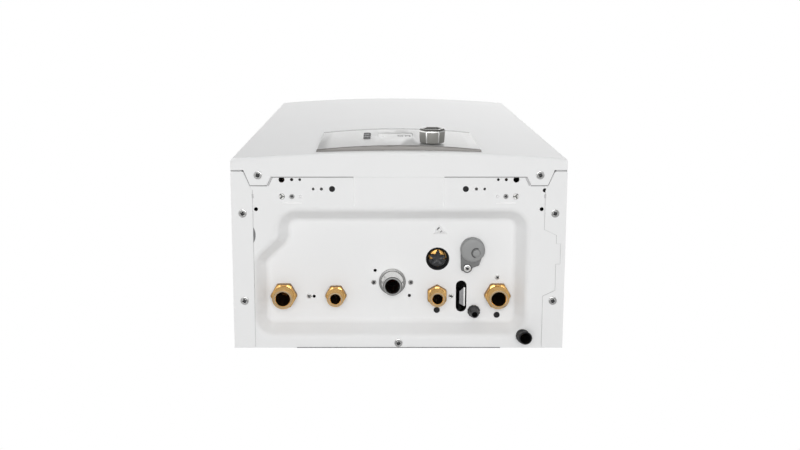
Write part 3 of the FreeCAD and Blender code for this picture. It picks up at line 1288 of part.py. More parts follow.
def post_places():
    inset = "(box_wall + post_inset)"
    return [(x, z) for x in (f"-box_half + {inset}", f"box_half - {inset}")
            for z in (f"box_low + {inset}", f"box_high - {inset}")]


def control_box():
    shell = cut(
        "box_shell",
        box("box_outside", both("box_half"), ("-box_front", "-box_rear"), ("box_low", "box_high")),
        box("box_inside", both("box_half - box_wall"), ("-box_front - sheet", "-box_rear - box_wall"),
            ("box_low + box_wall", "box_high - box_wall")),
    )
    pieces = [shell]
    for i, centre in enumerate(post_places(), 1):
        pieces.append(rod(f"box_post_{i}", "post_radius", "y", centre,
                          ("-board_rear", "-box_rear - box_wall")))
    y = ("-foot_front", "-foot_rear")
    for side, sign in SIDES:
        pieces.append(box(f"box_{side}_foot", across(side, "foot_inner", "foot_outer"), y,
                          (RIM_TOP, "box_low + foot_sheet")))
        pieces.append(box(f"box_{side}_arm", across(side, "box_half - box_wall", "foot_inner"), y,
                          ("box_low", "box_low + foot_sheet")))
    peg_bores = holes("box_peg_bore", PEGS, "peg_radius + peg_fit", ("0", "peg_length + end_play"))
    screw_bores = holes("box_screw_bore", BOX_SCREWS, HOLE_RADIUS, ("0", "sheet + screw_length + end_play"))
    return cut("control_box", join("control_box_body", *pieces), *peg_bores, *screw_bores)


def control_board():
    """Printed board with the soldered rotary encoder behind the knob."""
    inset = "(box_wall + board_margin)"
    board = box("board_plate", both(f"box_half - {inset}"), ("-(board_rear + board_sheet)", "-board_rear"),
                (f"box_low + {inset}", f"box_high - {inset}"))
    encoder = box("board_encoder", ("knob_x - encoder_half", "knob_x + encoder_half"),
                  ("-(board_rear + board_sheet + encoder_depth)", "-(board_rear + board_sheet)"),
                  ("knob_level - encoder_half", "knob_level + encoder_half"))
    return join("control_board", board, encoder)


# Combustion chamber, fan and flue

def combustion_chamber():
    z = ("chamber_low", "chamber_high")
    outer = box("chamber_outside", both("chamber_half"), (minus(CHAMBER_FRONT), minus(CHAMBER_REAR)), z)
    inner = box("chamber_inside", both("chamber_half - chamber_wall"),
                (f"-{CHAMBER_FRONT} + chamber_wall", f"-{CHAMBER_REAR} - chamber_wall"),
                ("chamber_low - sheet", "chamber_high + sheet"))
    ears = box("chamber_ears", both("ear_half"), (f"-{CHAMBER_REAR} - chamber_wall", minus(CHAMBER_REAR)), z)
    stubs = rod("chamber_stub_holes", "riser_radius + inner_fit", "x", ("-riser_y", "exchanger_level"),
                both("chamber_half + sheet"))
    electrode = rod("chamber_electrode_hole", "electrode_radius + inner_fit", "y",
                    ("electrode_x", "chamber_low + electrode_rise"),
                    (f"-{CHAMBER_FRONT} - sheet", f"-{CHAMBER_FRONT} + 2 * chamber_wall"))
    shell = join("chamber_shell", cut("chamber_walls", outer, inner), ears)
    return cut("combustion_chamber", shell, stubs, electrode)


CHAMBER_SPACE = "(chamber_half - chamber_wall - inner_fit)"
SPACE_FRONT = f"({CHAMBER_FRONT} - chamber_wall - inner_fit)"
SPACE_REAR = f"({CHAMBER_REAR} + chamber_wall + inner_fit)"


def burner_frame():
    outer = box("burner_outside", both(CHAMBER_SPACE), (minus(SPACE_FRONT), minus(SPACE_REAR)),
                ("chamber_low", "chamber_low + burner_height"))
    inner = box("burner_inside", both(f"{CHAMBER_SPACE} - burner_wall"),
                (f"-{SPACE_FRONT} + burner_wall", f"-{SPACE_REAR} - burner_wall"),
                ("chamber_low + burner_wall", "chamber_low + burner_height + sheet"))
    return cut("burner_frame", outer, inner)


def burner_bars():
    count = int(size("bar_count"))
    span = f"(2 * ({CHAMBER_SPACE} - burner_wall - bar_margin) - bar_width)"
    y = (f"-{SPACE_FRONT} + burner_wall + bar_margin", f"-{SPACE_REAR} - burner_wall - bar_margin")
    z = ("chamber_low + burner_wall", "chamber_low + burner_wall + bar_height")
    bars = []
    for i in range(count):
        low = f"-{span} / 2 - bar_width / 2 + {span} * {i} / {count - 1}"
        bars.append(box(f"burner_bar_{i + 1}", (low, f"{low} + bar_width"), y, z))
    return group("burner_bars", bars)


def gas_manifold():
    """Manifold bar below the burner with its brazed supply pipe from the gas valve."""
    bar = box("manifold_bar", both("manifold_half"),
              ("-gas_riser_y - manifold_depth / 2", "-gas_riser_y + manifold_depth / 2"),
              ("chamber_low - manifold_height", "chamber_low"))
    supply = ring("manifold_supply", "supply_radius", "supply_radius - pipe_wall", "z",
                  ("0", "-gas_riser_y"), ("valve_low + valve_height", "chamber_low - manifold_height"))
    return join("gas_manifold", bar, supply)


def ignition_electrode():
    centre = ("electrode_x", "chamber_low + electrode_rise")
    front = minus(CHAMBER_FRONT)
    return join(
        "ignition_electrode",
        rod("electrode_rod", "electrode_radius", "y", centre,
            (f"{front} - electrode_outside", f"{front} + electrode_inside")),
        rod("electrode_plate", "electrode_flange", "y", centre, (f"{front} - electrode_sheet", front)),
    )


def main_exchanger():
    """Finned pack: thin plates on three tubes; the middle tube ends in the two water stubs."""
    count = int(size("fin_count"))
    half = size(CHAMBER_SPACE)
    fin = size("fin_sheet")
    depth = size(f"{SPACE_FRONT} - {SPACE_REAR}")
    low = size("exchanger_level - exchanger_half_height")
    height = size("2 * exchanger_half_height")
    pack = []
    for i in range(count):
        left = -half + (2 * half - fin) * i / (count - 1)
        pack.append(Part.makeBox(fin, depth, height, Vector(left, -size(SPACE_FRONT), low)))
    level = size("exchanger_level")
    along = Vector(1, 0, 0)
    for step in (-1, 0, 1):
        y = -size("riser_y") + step * size("tube_pitch")
        tube_half = size("stub_reach") if step == 0 else half
        radius = size("riser_radius") if step == 0 else size("tube_radius")
        pack.append(Part.makeCylinder(radius, 2 * tube_half, Vector(-tube_half, y, level), along))
    stub = size("stub_reach")
    bore_start = Vector(-stub, -size("riser_y"), level)
    bore = Part.makeCylinder(size("riser_radius - pipe_wall"), 2 * stub, bore_start, along)
    return solid("main_exchanger", pack[0].fuse(pack[1:]).cut(bore).removeSplitter())


def flue_hood():
    low = size("chamber_high")
    high = size("chamber_high + hood_height")
    wall = size("hood_rim")

    def frame(half_x, front, rear, level):
        corners = [Vector(-half_x, -front, level), Vector(half_x, -front, level),
                   Vector(half_x, -rear, level), Vector(-half_x, -rear, level)]
        return Part.makePolygon(corners + corners[:1])

    front_top = size(f"{FAN_FRONT} + fan_wall")
    rear_top = size("fan_rear - fan_wall")
    base = (size("chamber_half"), size(CHAMBER_FRONT), size(CHAMBER_REAR))
    top = (size("hood_half"), front_top, rear_top)

    def frustum(inset, bottom, lid):
        rims = [frame(half_x - inset, front - inset, rear + inset, level)
                for (half_x, front, rear), level in ((base, bottom), (top, lid))]
        return Part.makeLoft(rims, True, True)

    inside = frustum(wall, low, high - wall)
    eye = Part.makeCylinder(size("fan_eye_radius"), 3 * wall, Vector(0, size(FLUE_Y), high - 2 * wall))
    return solid("flue_hood", frustum(0, low, high).cut(inside).cut(eye))


def fan_housing():
    axis = ("0", FAN_LEVEL)
    y = (minus(FAN_FRONT), "-fan_rear")
    inner_y = (f"-{FAN_FRONT} + fan_wall", "-fan_rear - fan_wall")
    duct_half = "(fan_outlet_radius - fan_outlet_wall) * cos(45deg)"
    outlet_low = f"({FAN_LEVEL} + fan_outlet_low)"
    outlet_top = "(case_height + flue_overlap)"
    body = join(
        "fan_housing_body",
        rod("fan_drum", "fan_radius", "y", axis, y),
        box("fan_foot", both("fan_foot_half"), y, ("chamber_high + hood_height", FAN_LEVEL)),
        rod("fan_outlet", "fan_outlet_radius", "z", ("0", FLUE_Y), (outlet_low, outlet_top)),
    )
    return cut(
        "fan_housing", body,
        rod("fan_drum_inside", "fan_radius - fan_wall", "y", axis, inner_y),
        box("fan_duct", both(duct_half), inner_y, (FAN_LEVEL, f"{outlet_low} + 3 * fan_wall")),
        rod("fan_outlet_inside", "fan_outlet_radius - fan_outlet_wall", "z", ("0", FLUE_Y),
            (f"{outlet_low} + 2 * fan_wall", f"{outlet_top} + sheet")),
        rod("fan_eye", "fan_eye_radius", "z", ("0", FLUE_Y),
            ("chamber_high + hood_height - sheet", FAN_LEVEL)),
        rod("fan_shaft_hole", "shaft_hole_radius", "y", axis,
            (f"-{FAN_FRONT} - sheet", f"-{FAN_FRONT} + 2 * fan_wall")),
    )


def bladed_wheel(label, x, level, wheel_radius, front, rear, blades, motor_face):
    """Disc at the front with radial blades behind it, a hub and a shaft that reaches into the motor."""
    count = int(size(blades))
    centre = (x, level)
    disc_rear = f"({front}) + impeller_disc"
    pieces = [
        rod(f"{label}_disc", wheel_radius, "y", centre, (front, disc_rear)),
        rod(f"{label}_hub", "hub_radius", "y", centre, (front, rear)),
        rod(f"{label}_shaft", "shaft_radius", "y", centre, (f"({motor_face}) - shaft_reach", disc_rear)),
    ]
    for i in range(count):
        blade = doc.addObject("Part::Box", f"{label}_blade_{i + 1}")
        set_sizes(blade, Length="blade_length", Width=f"({rear}) - ({disc_rear})", Height="blade_sheet")
        turn = 360 * i / count
        reach = f"({wheel_radius} - blade_length - blade_inset)"
        at = (f"{x} + {reach} * cos({turn}deg)", disc_rear, f"{level} - {reach} * sin({turn}deg)")
        pieces.append(place(blade, at, Rotation(Vector(0, 1, 0), turn)))
    return join(label, *pieces)


def fan_impeller():
    front = f"-{FAN_FRONT} + fan_wall + impeller_margin"
    rear = "-fan_rear - fan_wall - impeller_margin"
    return bladed_wheel("fan_impeller", "0", FAN_LEVEL, "impeller_radius", front, rear, "impeller_blades",
                        minus(FAN_FRONT))


def motor(label, x, level, radius, length, face):
    """Round motor in front of a housing face, bored for the shaft."""
    body = rod(f"{label}_body", radius, "y", (x, level), (f"{face} - {length}", face))
    bore = rod(f"{label}_bore", "shaft_radius + running_fit", "y", (x, level),
               (f"{face} - shaft_reach - end_play", f"{face} + sheet"))
    return cut(label, body, bore)


def fan_motor():
    return motor("fan_motor", "0", FAN_LEVEL, "fan_motor_radius", "fan_motor_length", minus(FAN_FRONT))


def flue_collar():
    centre = ("0", FLUE_Y)
    base = "case_height"
    inner = "(fan_outlet_radius + flue_fit)"
    flange = rod("flue_flange", "flue_flange_radius", "z", centre, (base, f"{base} + flue_flange_sheet"))
    top = f"{base} + flue_rise"
    pieces = [
        flange,
        ring("flue_outer", "flue_radius", "flue_radius - flue_wall", "z", centre, (base, top)),
        ring("flue_inner", f"{inner} + flue_wall", inner, "z", centre, (base, top)),
    ]
    count = int(size("air_holes"))
    turns = [360 * i / count for i in range(count)]
    air_holes = [(f"air_hole_circle * cos({turn}deg)", f"{FLUE_Y} + air_hole_circle * sin({turn}deg)")
                 for turn in turns]
    span = (f"{base} - sheet", f"{base} + 2 * flue_flange_sheet")
    tools = holes("flue_air_hole", air_holes, "air_hole_radius", span)
    tools += holes("flue_screw_hole", collar_screw_places(), HOLE_RADIUS, span)
    tools.append(rod("flue_throat", inner, "z", centre, span))
    return cut("flue_collar", join("flue_collar_body", *pieces), *tools)


# Gas train

def gas_inlet_pipe():
    path = [
        ("-gas_x", "-gas_y", SPIGOT_TOP),
        ("-gas_x", "-gas_y", "gas_bend_low"),
        ("-gas_x", "-gas_riser_y", "gas_bend_high"),
        ("-gas_x", "-gas_riser_y", "valve_low"),
    ]
    return bent_pipe("gas_inlet_pipe", path, [size("gas_bend")] * 2, "gas_pipe_radius")


def gas_valve():
    y = ("-gas_riser_y - valve_depth / 2", "-gas_riser_y + valve_depth / 2")
    top = "valve_low + valve_height"
    body = box("valve_block", both("valve_half"), y, ("valve_low", top))
    coil_x = "(valve_half - coil_radius)"
    coils = [
        rod(f"valve_coil_{side}", "coil_radius", "z", (f"{sign} {coil_x}", "-gas_riser_y"),
            (top, f"{top} + coil_height"))
        for side, sign in SIDES
    ]
    return join("gas_valve", body, *coils)


# Water side

def plate_exchanger():
    x = ("-plate_left", "plate_right")
    y = ("-plate_front", "-plate_rear")
    top = "hydro_low + plate_height"
    pad_half = "(bridge_radius + plate_end)"
    pack = box("plate_pack", ("-plate_left + plate_step", "plate_right - plate_step"),
               ("-plate_front + plate_step", "-plate_rear - plate_step"), ("hydro_low", top))
    ends = [
        box("plate_lower_end", x, y, ("hydro_low", "hydro_low + plate_end")),
        box("plate_upper_end", x, y, (f"{top} - plate_end", top)),
        box("plate_neck_pads", x, (f"{ROW} - {pad_half}", f"{ROW} + {pad_half}"), ("hydro_low", top)),
    ]
    return join("plate_exchanger", pack, *ends)


def hot_water_pipe():
    return ring("hot_water_pipe", "hot_pipe_radius", "hot_pipe_radius - pipe_wall", "z", ("-hot_x", ROW),
                (SPIGOT_TOP, "hydro_low"))


def cold_water_block():
    block = box("cold_block", ("cold_x - block_half", "cold_x + block_half"),
                ("-fitting_row - block_half", "-fitting_row + block_half"), (SPIGOT_TOP, "hydro_low"))
    bore = rod("cold_block_bore", "small_bore_radius", "z", ("cold_x", ROW),
               (f"{SPIGOT_TOP} - sheet", "hydro_low + sheet"))
    return cut("cold_water_block", block, bore)


SPINDLE = ("-flow_x", "spindle_level")
DIVERTER_FRONT = "(fitting_row + diverter_half)"


def diverter_body():
    block = box("diverter_block", ("-flow_x - diverter_half", "-flow_x + diverter_half"),
                (f"-{DIVERTER_FRONT}", "-fitting_row + diverter_half"), (SPIGOT_TOP, "diverter_top"))
    neck = rod("diverter_neck", "diverter_neck_radius", "x", (ROW, "diverter_neck_level"),
               ("-flow_x", "-plate_left"))
    bore = rod("diverter_bore", "large_bore_radius", "z", ("-flow_x", ROW),
               (f"{SPIGOT_TOP} - sheet", "diverter_top + sheet"))
    seat = rod("diverter_seat", "seat_radius", "y", SPINDLE,
               (f"{ROW} - spindle_head_length", f"{ROW} + spindle_stroke + spindle_head_length + end_play"))
    guide = rod("diverter_guide", "spindle_radius + running_fit", "y", SPINDLE,
                (f"-{DIVERTER_FRONT} - sheet", ROW))
    return cut("diverter_body", join("diverter_brass", block, neck), bore, seat, guide)


def diverter_spindle():
    return join(
        "diverter_spindle",
        rod("spindle_rod", "spindle_radius", "y", SPINDLE, (f"-{DIVERTER_FRONT} - spindle_tail", ROW)),
        rod("spindle_head", "spindle_head_radius", "y", SPINDLE, (ROW, f"{ROW} + spindle_head_length")),
    )


def diverter_actuator():
    body = rod("actuator_body", "actuator_radius", "y", SPINDLE,
               (f"-{DIVERTER_FRONT} - actuator_length", f"-{DIVERTER_FRONT}"))
    bore = rod("actuator_bore", "spindle_radius + running_fit", "y", SPINDLE,
               (f"-{DIVERTER_FRONT} - spindle_tail - end_play", f"-{DIVERTER_FRONT} + sheet"))
    return cut("diverter_actuator", body, bore)


PUMP_AXIS = ("return_x", "pump_level")


def pump_body():
    outlet = ("return_x + pump_outlet_x", "-pump_outlet_y")
    pump_y = (minus(PUMP_FRONT), "-pump_rear")
    body = join(
        "pump_casting",
        rod("pump_drum", "pump_radius", "y", PUMP_AXIS, pump_y),
        rod("pump_inlet", "pump_neck_radius", "z", ("return_x", ROW), (SPIGOT_TOP, "pump_level")),
        rod("pump_outlet", "pump_neck_radius", "z", outlet, ("pump_level", "pump_outlet_top")),
        rod("pump_bridge", "bridge_radius", "x", (ROW, "bridge_level"), ("plate_right", "return_x")),
    )
    return cut(
        "pump_body", body,
        rod("pump_inside", "pump_radius - pump_wall", "y", PUMP_AXIS,
            (f"-{PUMP_FRONT} + pump_wall", "-pump_rear - pump_wall")),
        rod("pump_inlet_bore", "large_bore_radius", "z", ("return_x", ROW),
            (f"{SPIGOT_TOP} - sheet", "pump_level")),
        rod("pump_outlet_bore", "riser_radius - pipe_wall", "z", outlet,
            ("pump_level", "pump_outlet_top + sheet")),
        rod("pump_shaft_hole", "shaft_hole_radius", "y", PUMP_AXIS,
            (f"-{PUMP_FRONT} - sheet", f"-{PUMP_FRONT} + 2 * pump_wall")),
    )


def pump_impeller():
    front = f"-{PUMP_FRONT} + pump_wall + rotor_margin"
    rear = "-pump_rear - pump_wall - rotor_margin"
    return bladed_wheel("pump_impeller", *PUMP_AXIS, "rotor_radius", front, rear, "rotor_blades",
                        minus(PUMP_FRONT))


def pump_motor():
    return motor("pump_motor", *PUMP_AXIS, "pump_motor_radius", "pump_motor_length", minus(PUMP_FRONT))


def heating_pipe(label, x, y, start, sign):
    path = [
        (x, y, start),
        (x, y, "riser_low"),
        (f"{sign} riser_x", "-riser_y", "riser_high"),
        (f"{sign} riser_x", "-riser_y", "exchanger_level"),
        (f"{sign} stub_reach", "-riser_y", "exchanger_level"),
    ]
    radii = [size("riser_bend"), size("riser_bend"), size("riser_end_bend")]
    return bent_pipe(label, path, radii, "riser_radius")


def expansion_vessel():
    """Flat welded drum against the rear panel, hollow, with its water port at the bottom."""
    axis = ("0", "vessel_level")
    drum = rod("vessel_drum", "vessel_radius", "y", axis, ("-sheet - vessel_depth", WALL_SIDE))
    space = rod("vessel_space", "vessel_radius - vessel_wall", "y", axis,
                ("-sheet - vessel_depth + vessel_wall", "-sheet - vessel_wall"))
    outside = rounded("vessel_outside", drum, "vessel_edge", lambda edge: edge.Closed)
    inside = rounded("vessel_inside", space, "vessel_edge - vessel_wall", lambda edge: edge.Closed)
    port = rod("vessel_port", "port_radius", "z", ("0", "-sheet - vessel_depth / 2"),
               ("vessel_level - vessel_radius - 2 * seam_radius", "vessel_level - vessel_radius / 2"))
    seam = doc.addObject("Part::Torus", "vessel_seam")
    set_sizes(seam, Radius1="vessel_radius", Radius2="seam_radius")
    place(seam, ("0", "-sheet - vessel_depth / 2", "vessel_level"), AXIS_TURN["y"])
    return cut("expansion_vessel", join("vessel_shell", outside, seam), inside, port)


PIECES = [
    rear_panel(),
    *[side_panel(side, sign) for side, sign in SIDES],
    top_panel(),
    bottom_plate(),
    front_cover(),
    hanging_rail(),
    *[frame_rail(side) for side, sign in SIDES],
    casing_screws(),
    small_screws(),
    collar_screws(),
    split_pegs(),
    hole_plugs(),
    *water_connections(),
    gas_connection(),
    filling_tap_body(),
    filling_tap_knob(),
    service_cap(),
    drain_nozzle(),
    drain_valve_body(),
    *relief_pieces(),
    slot_bracket(),
    control_fascia(),
    display_window(),
    control_knob(),
    *keys(),
    control_box(),
    control_board(),
    combustion_chamber(),
    burner_frame(),
    burner_bars(),
    gas_manifold(),
    ignition_electrode(),
    main_exchanger(),
    flue_hood(),
    fan_housing(),
    fan_impeller(),
    fan_motor(),
    flue_collar(),
    gas_inlet_pipe(),
    gas_valve(),
    plate_exchanger(),
    hot_water_pipe(),
    cold_water_block(),
    diverter_body(),
    diverter_spindle(),
    diverter_actuator(),
    pump_body(),
    pump_impeller(),
    pump_motor(),
    heating_pipe("flow_pipe", "-flow_x", ROW, "diverter_top", "-1 *"),
    heating_pipe("return_pipe", "return_x + pump_outlet_x", "-pump_outlet_y", "pump_outlet_top", "1 *"),
    expansion_vessel(),
]
doc.recompute()

failed = [item.Label for item in doc.Objects if {"Invalid", "Error"} & set(item.State)]
failed += [piece.Label for piece in PIECES if piece.Shape.isNull() or not piece.Shape.isValid()]
if failed:
    raise SystemExit(f"failed: {failed}")
os.makedirs("parts", exist_ok=True)
for piece in PIECES:
    piece.Shape.exportStep(f"parts/{piece.Label}.step")
print(len(PIECES), "pieces written")
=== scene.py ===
# %% [markdown]
# # A wall-hung gas boiler, seen from its connection side
#
# The boiler is a white sheet metal box that hangs on a wall. The picture looks at its underside: a
# pressed recess with brass pipe connections, a round gas connection, a grey service cap and a few
# black rubber pieces. The sizes come from a packed construction model, which this lesson loads as
# a fixed frame. Every piece made here sits where that model says, and moves with one of its bodies.

# %% Load the frame
import json
from math import asin, atan2, cos, degrees, hypot, pi, radians, sin, sqrt

import bmesh
import bpy
from mathutils import Matrix, Vector


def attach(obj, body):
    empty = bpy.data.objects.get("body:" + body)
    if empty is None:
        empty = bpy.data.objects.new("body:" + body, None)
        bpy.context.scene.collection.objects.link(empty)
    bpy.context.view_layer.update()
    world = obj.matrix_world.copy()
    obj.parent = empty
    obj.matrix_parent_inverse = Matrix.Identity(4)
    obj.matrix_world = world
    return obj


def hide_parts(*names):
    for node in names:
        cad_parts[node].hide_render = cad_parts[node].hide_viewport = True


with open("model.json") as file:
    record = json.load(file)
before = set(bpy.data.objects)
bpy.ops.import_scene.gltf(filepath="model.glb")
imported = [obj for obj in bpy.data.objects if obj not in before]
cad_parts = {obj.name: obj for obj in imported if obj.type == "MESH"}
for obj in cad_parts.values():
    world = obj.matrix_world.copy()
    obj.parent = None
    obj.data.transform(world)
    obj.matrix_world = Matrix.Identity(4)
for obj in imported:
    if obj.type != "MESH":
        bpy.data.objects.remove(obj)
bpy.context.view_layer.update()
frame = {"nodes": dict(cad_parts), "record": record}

nodes = frame["nodes"]

# %% [markdown]
# ## Units
#
# Blender works in metres here, and the origin is on the wall between the two hanging holes. A fitter
# measures a boiler from the lower rim of its casing in millimetres, so one small function turns
# such a measure into a point of the frame.

# %% Points in millimetres above the lower rim
HANG_HEIGHT = 672.0
MM = 0.001


def at(x, y, z):
    return Vector((x, y, z - HANG_HEIGHT)) * MM


print("lower rim at", at(0, 0, 0)[:])

# %% [markdown]
# ## The camera
#
# The photographer stood below the boiler and looked up along it, slightly from the front. The lens
# and the place come from the way the casing's long edges run together. The optical axis is off the
# middle of the picture by a small shift, so that the frame stays as it is in the photograph.

# %% Camera
CAMERA_TILT = radians(10.219)
scene = bpy.context.scene


def assign(thing, **settings):
    for label, value in settings.items():
        setattr(thing, label, value)


def new_thing(name, data, **settings):
    thing = bpy.data.objects.new(name, data)
    assign(thing, **settings)
    scene.collection.objects.link(thing)
    return thing


camera_data = bpy.data.cameras.new("camera")
assign(camera_data, sensor_width=36.0, lens=48.245, shift_x=0.02375, shift_y=-0.04,
       clip_start=0.05, clip_end=50.0)
camera = new_thing("camera", camera_data, location=at(-21.33, -418.59, -1254.88),
                   rotation_euler=(pi - CAMERA_TILT, 0.0, 0.0))
scene.camera = camera
scene.view_settings.view_transform = "Standard"
print("camera at", [round(v, 3) for v in camera.location])

# %% [markdown]
# ## Light, floor and background
#
# Product pictures of white goods use large soft lamps on all sides, so shadows stay pale and edges
# still read. The world is a pale even light, and what the camera, shiny metal or glass sees of it is
# plain white. Five area lamps add a direction. The floor lies far below, because the boiler hangs,
# and about half of what the camera sees of it is an even pale tone.

# %% World
WHITE = (1.0, 1.0, 1.0, 1.0)
WORLD_LEVEL, BACKDROP_LEVEL = 0.33, 1.0


def feed(tree, node, inputs):
    """Fill inputs of a node, each with a value or with an output of another node."""
    for label, value in inputs.items():
        if isinstance(value, bpy.types.NodeSocket):
            tree.links.new(value, node.inputs[label])
        else:
            node.inputs[label].default_value = value


def add(tree, kind, inputs=(), **settings):
    """Outputs of a new node with some of its settings and inputs filled in."""
    node = tree.nodes.new(kind)
    assign(node, **settings)
    feed(tree, node, dict(inputs))
    return node.outputs


def reckon(tree, operation, first, second):
    return add(tree, "ShaderNodeMath", {0: first, 1: second}, operation=operation)[0]


def looked_at(tree):
    """1 where the camera, a shiny metal or glass looks straight at a surface, else 0."""
    ray = add(tree, "ShaderNodeLightPath")
    seen = reckon(tree, "MAXIMUM", ray["Is Camera Ray"], ray["Is Glossy Ray"])
    return reckon(tree, "MAXIMUM", seen, ray["Is Transmission Ray"])


def mixed(tree, share, first, second):
    return add(tree, "ShaderNodeMixShader", {0: share, 1: first, 2: second})[0]


world = bpy.data.worlds.new("studio")
scene.world = world
world.use_nodes = True
sky = world.node_tree
sky.nodes.clear()
surround, backdrop = [
    add(sky, "ShaderNodeBackground", {"Color": WHITE, "Strength": level})[0]
    for level in (WORLD_LEVEL, BACKDROP_LEVEL)]
add(sky, "ShaderNodeOutputWorld", {"Surface": mixed(sky, looked_at(sky), surround, backdrop)})
print("world: light", WORLD_LEVEL, "and backdrop", BACKDROP_LEVEL)

# %% Lamps
CASING_MIDDLE = at(0, -120, 300)


def soft_lamp(name, place, power, target=CASING_MIDDLE, width=2.0):
    lamp_data = bpy.data.lights.new(name, "AREA")
    assign(lamp_data, shape="RECTANGLE", size=width, size_y=width, energy=power)
    turn = (target - place).to_track_quat("-Z", "Y").to_euler()
    new_thing(name, lamp_data, location=place, rotation_euler=turn)


soft_lamp("lamp_below", at(-30, -560, -2090), 25.5, target=at(0, -110, 0), width=1.1)
soft_lamp("lamp_front", at(1300, -2000, 1300), 30.0)
soft_lamp("lamp_left", at(-2300, -400, 1300), 25.0)
soft_lamp("lamp_back", at(1400, 2000, 1300), 30.0)
soft_lamp("lamp_above", at(300, -300, 2900), 14.0)
print("lamps:", len(bpy.data.lights))

# %% Floor
FLOOR_LEVEL, FLOOR_HALF, PALE_SHARE = -2.95, 9.0, 0.48
finishes = {}


def new_finish(name):
    """Tree and shader of a new finish, and the Object coordinates."""
    finishes[name] = material = bpy.data.materials.new(name)
    material.use_nodes = True
    tree = material.node_tree
    return tree, tree.nodes["Principled BSDF"], add(tree, "ShaderNodeTexCoord")["Object"]


floor_mesh = bpy.data.meshes.new("studio_floor")
corners = [(x * FLOOR_HALF, y * FLOOR_HALF, FLOOR_LEVEL) for x, y in ((-1, -1), (1, -1), (1, 1), (-1, 1))]
floor_mesh.from_pydata(corners, [], [(0, 1, 2, 3)])
studio_floor = new_thing("studio_floor", floor_mesh)
tree, shader, _ = new_finish("studio_floor")
feed(tree, shader, {"Base Color": (0.86, 0.86, 0.86, 1.0), "Roughness": 0.9})
pale = add(tree, "ShaderNodeEmission", {"Color": (0.95, 0.95, 0.95, 1.0)})[0]
share = reckon(tree, "MULTIPLY", looked_at(tree), PALE_SHARE)
feed(tree, tree.nodes["Material Output"], {"Surface": mixed(tree, share, shader.outputs[0], pale)})
floor_mesh.materials.append(finishes["studio_floor"])
print("floor at", FLOOR_LEVEL)

# %% [markdown]
# ## Finishes
#
# A finish is a shader with a little life in it. Even a clean white enamel has a fine orange peel, a
# cast cap has a sandy grain and a turned brass fitting has rings from the lathe. Each finish reads
# the Object coordinates, so its grain stays on the piece. Two noises at different scales move the
# roughness and the colour a little, and a bump node gives the grain its height.

# %% Building blocks for finishes
MICRONS = 1e6
PAINT_MOTTLE, METAL_MOTTLE = 14.0, 40.0
PAINT_BUMP, METAL_BUMP = 0.5, 0.4


def noise(tree, place, scale, detail=3.0, stretch=None):
    if stretch is not None:
        place = add(tree, "ShaderNodeMapping", {"Vector": place, "Scale": stretch})[0]
    return add(tree, "ShaderNodeTexNoise", {"Vector": place, "Scale": scale, "Detail": detail})["Fac"]


def spread(tree, value, low, high, start=0.3, end=0.7):
    """The value, stretched from start and end to low and high."""
    return add(tree, "ShaderNodeMapRange", {
        "Value": value, "From Min": start, "From Max": end, "To Min": low, "To Max": high})[0]


def ramp(tree, value, stops):
    """Colour that follows a value through stops of position and colour."""
    colours = add(tree, "ShaderNodeValToRGB", {"Fac": value})["Color"]
    elements = colours.node.color_ramp.elements
    while len(elements) < len(stops):
        elements.new(0.5)
    for element, (position, _) in zip(elements, stops):
        element.position = position
    for element, (_, colour) in zip(elements, stops):
        element.color = (*colour, 1.0)
    return colours


def mottled(tree, value, colour, mottle):
    """The colour, a little darker and lighter as the value goes."""
    dark, light = [
        tuple(min(1.0, channel * factor) for channel in colour)
        for factor in (1.0 - mottle, 1.0 + mottle)]
    return ramp(tree, value, ((0.35, dark), (0.65, light)))


def bump(tree, value, depth, strength):
    """Height of a grain, its depth in micrometres."""
    return add(tree, "ShaderNodeBump", {
        "Height": value, "Distance": depth / MICRONS, "Strength": strength})[0]


def moulded(name, colour, roughness, scale, depth, metallic=0.0, mottle=0.04, gloss=0.5, vary=0.05):
    """Paint, plastic, rubber and castings: an even skin with a fine grain."""
    tree, shader, place = new_finish(name)
    broad = noise(tree, place, PAINT_MOTTLE, 2.0)
    feed(tree, shader, {
        "Base Color": mottled(tree, broad, colour, mottle), "Metallic": metallic,
        "Roughness": spread(tree, broad, roughness - vary, roughness + vary),
        "Specular IOR Level": gloss, "Normal": bump(tree, noise(tree, place, scale), depth, PAINT_BUMP)})


def worked(name, colour, roughness, scale, depth, stretch=(1.0, 1.0, 1.0), mottle=0.08):
    """Bare metal with tool marks drawn out along one direction."""
    tree, shader, place = new_finish(name)
    marks = noise(tree, place, scale, 4.0, stretch)
    feed(tree, shader, {
        "Base Color": mottled(tree, noise(tree, place, METAL_MOTTLE, 2.0), colour, mottle), "Metallic": 1.0,
        "Roughness": spread(tree, marks, roughness - 0.08, roughness + 0.1),
        "Normal": bump(tree, marks, depth, METAL_BUMP)})


print("finish builders ready")

# %% [markdown]
# ## The finishes of this boiler
#
# The record of the construction model names a finish for each piece, and one material is made for
# each name: enamel, galvanised frame, brass, nickel, plastics, rubber. The numbers are colour,
# roughness, the scale of the grain, its depth in micrometres and the stretch of any tool marks.

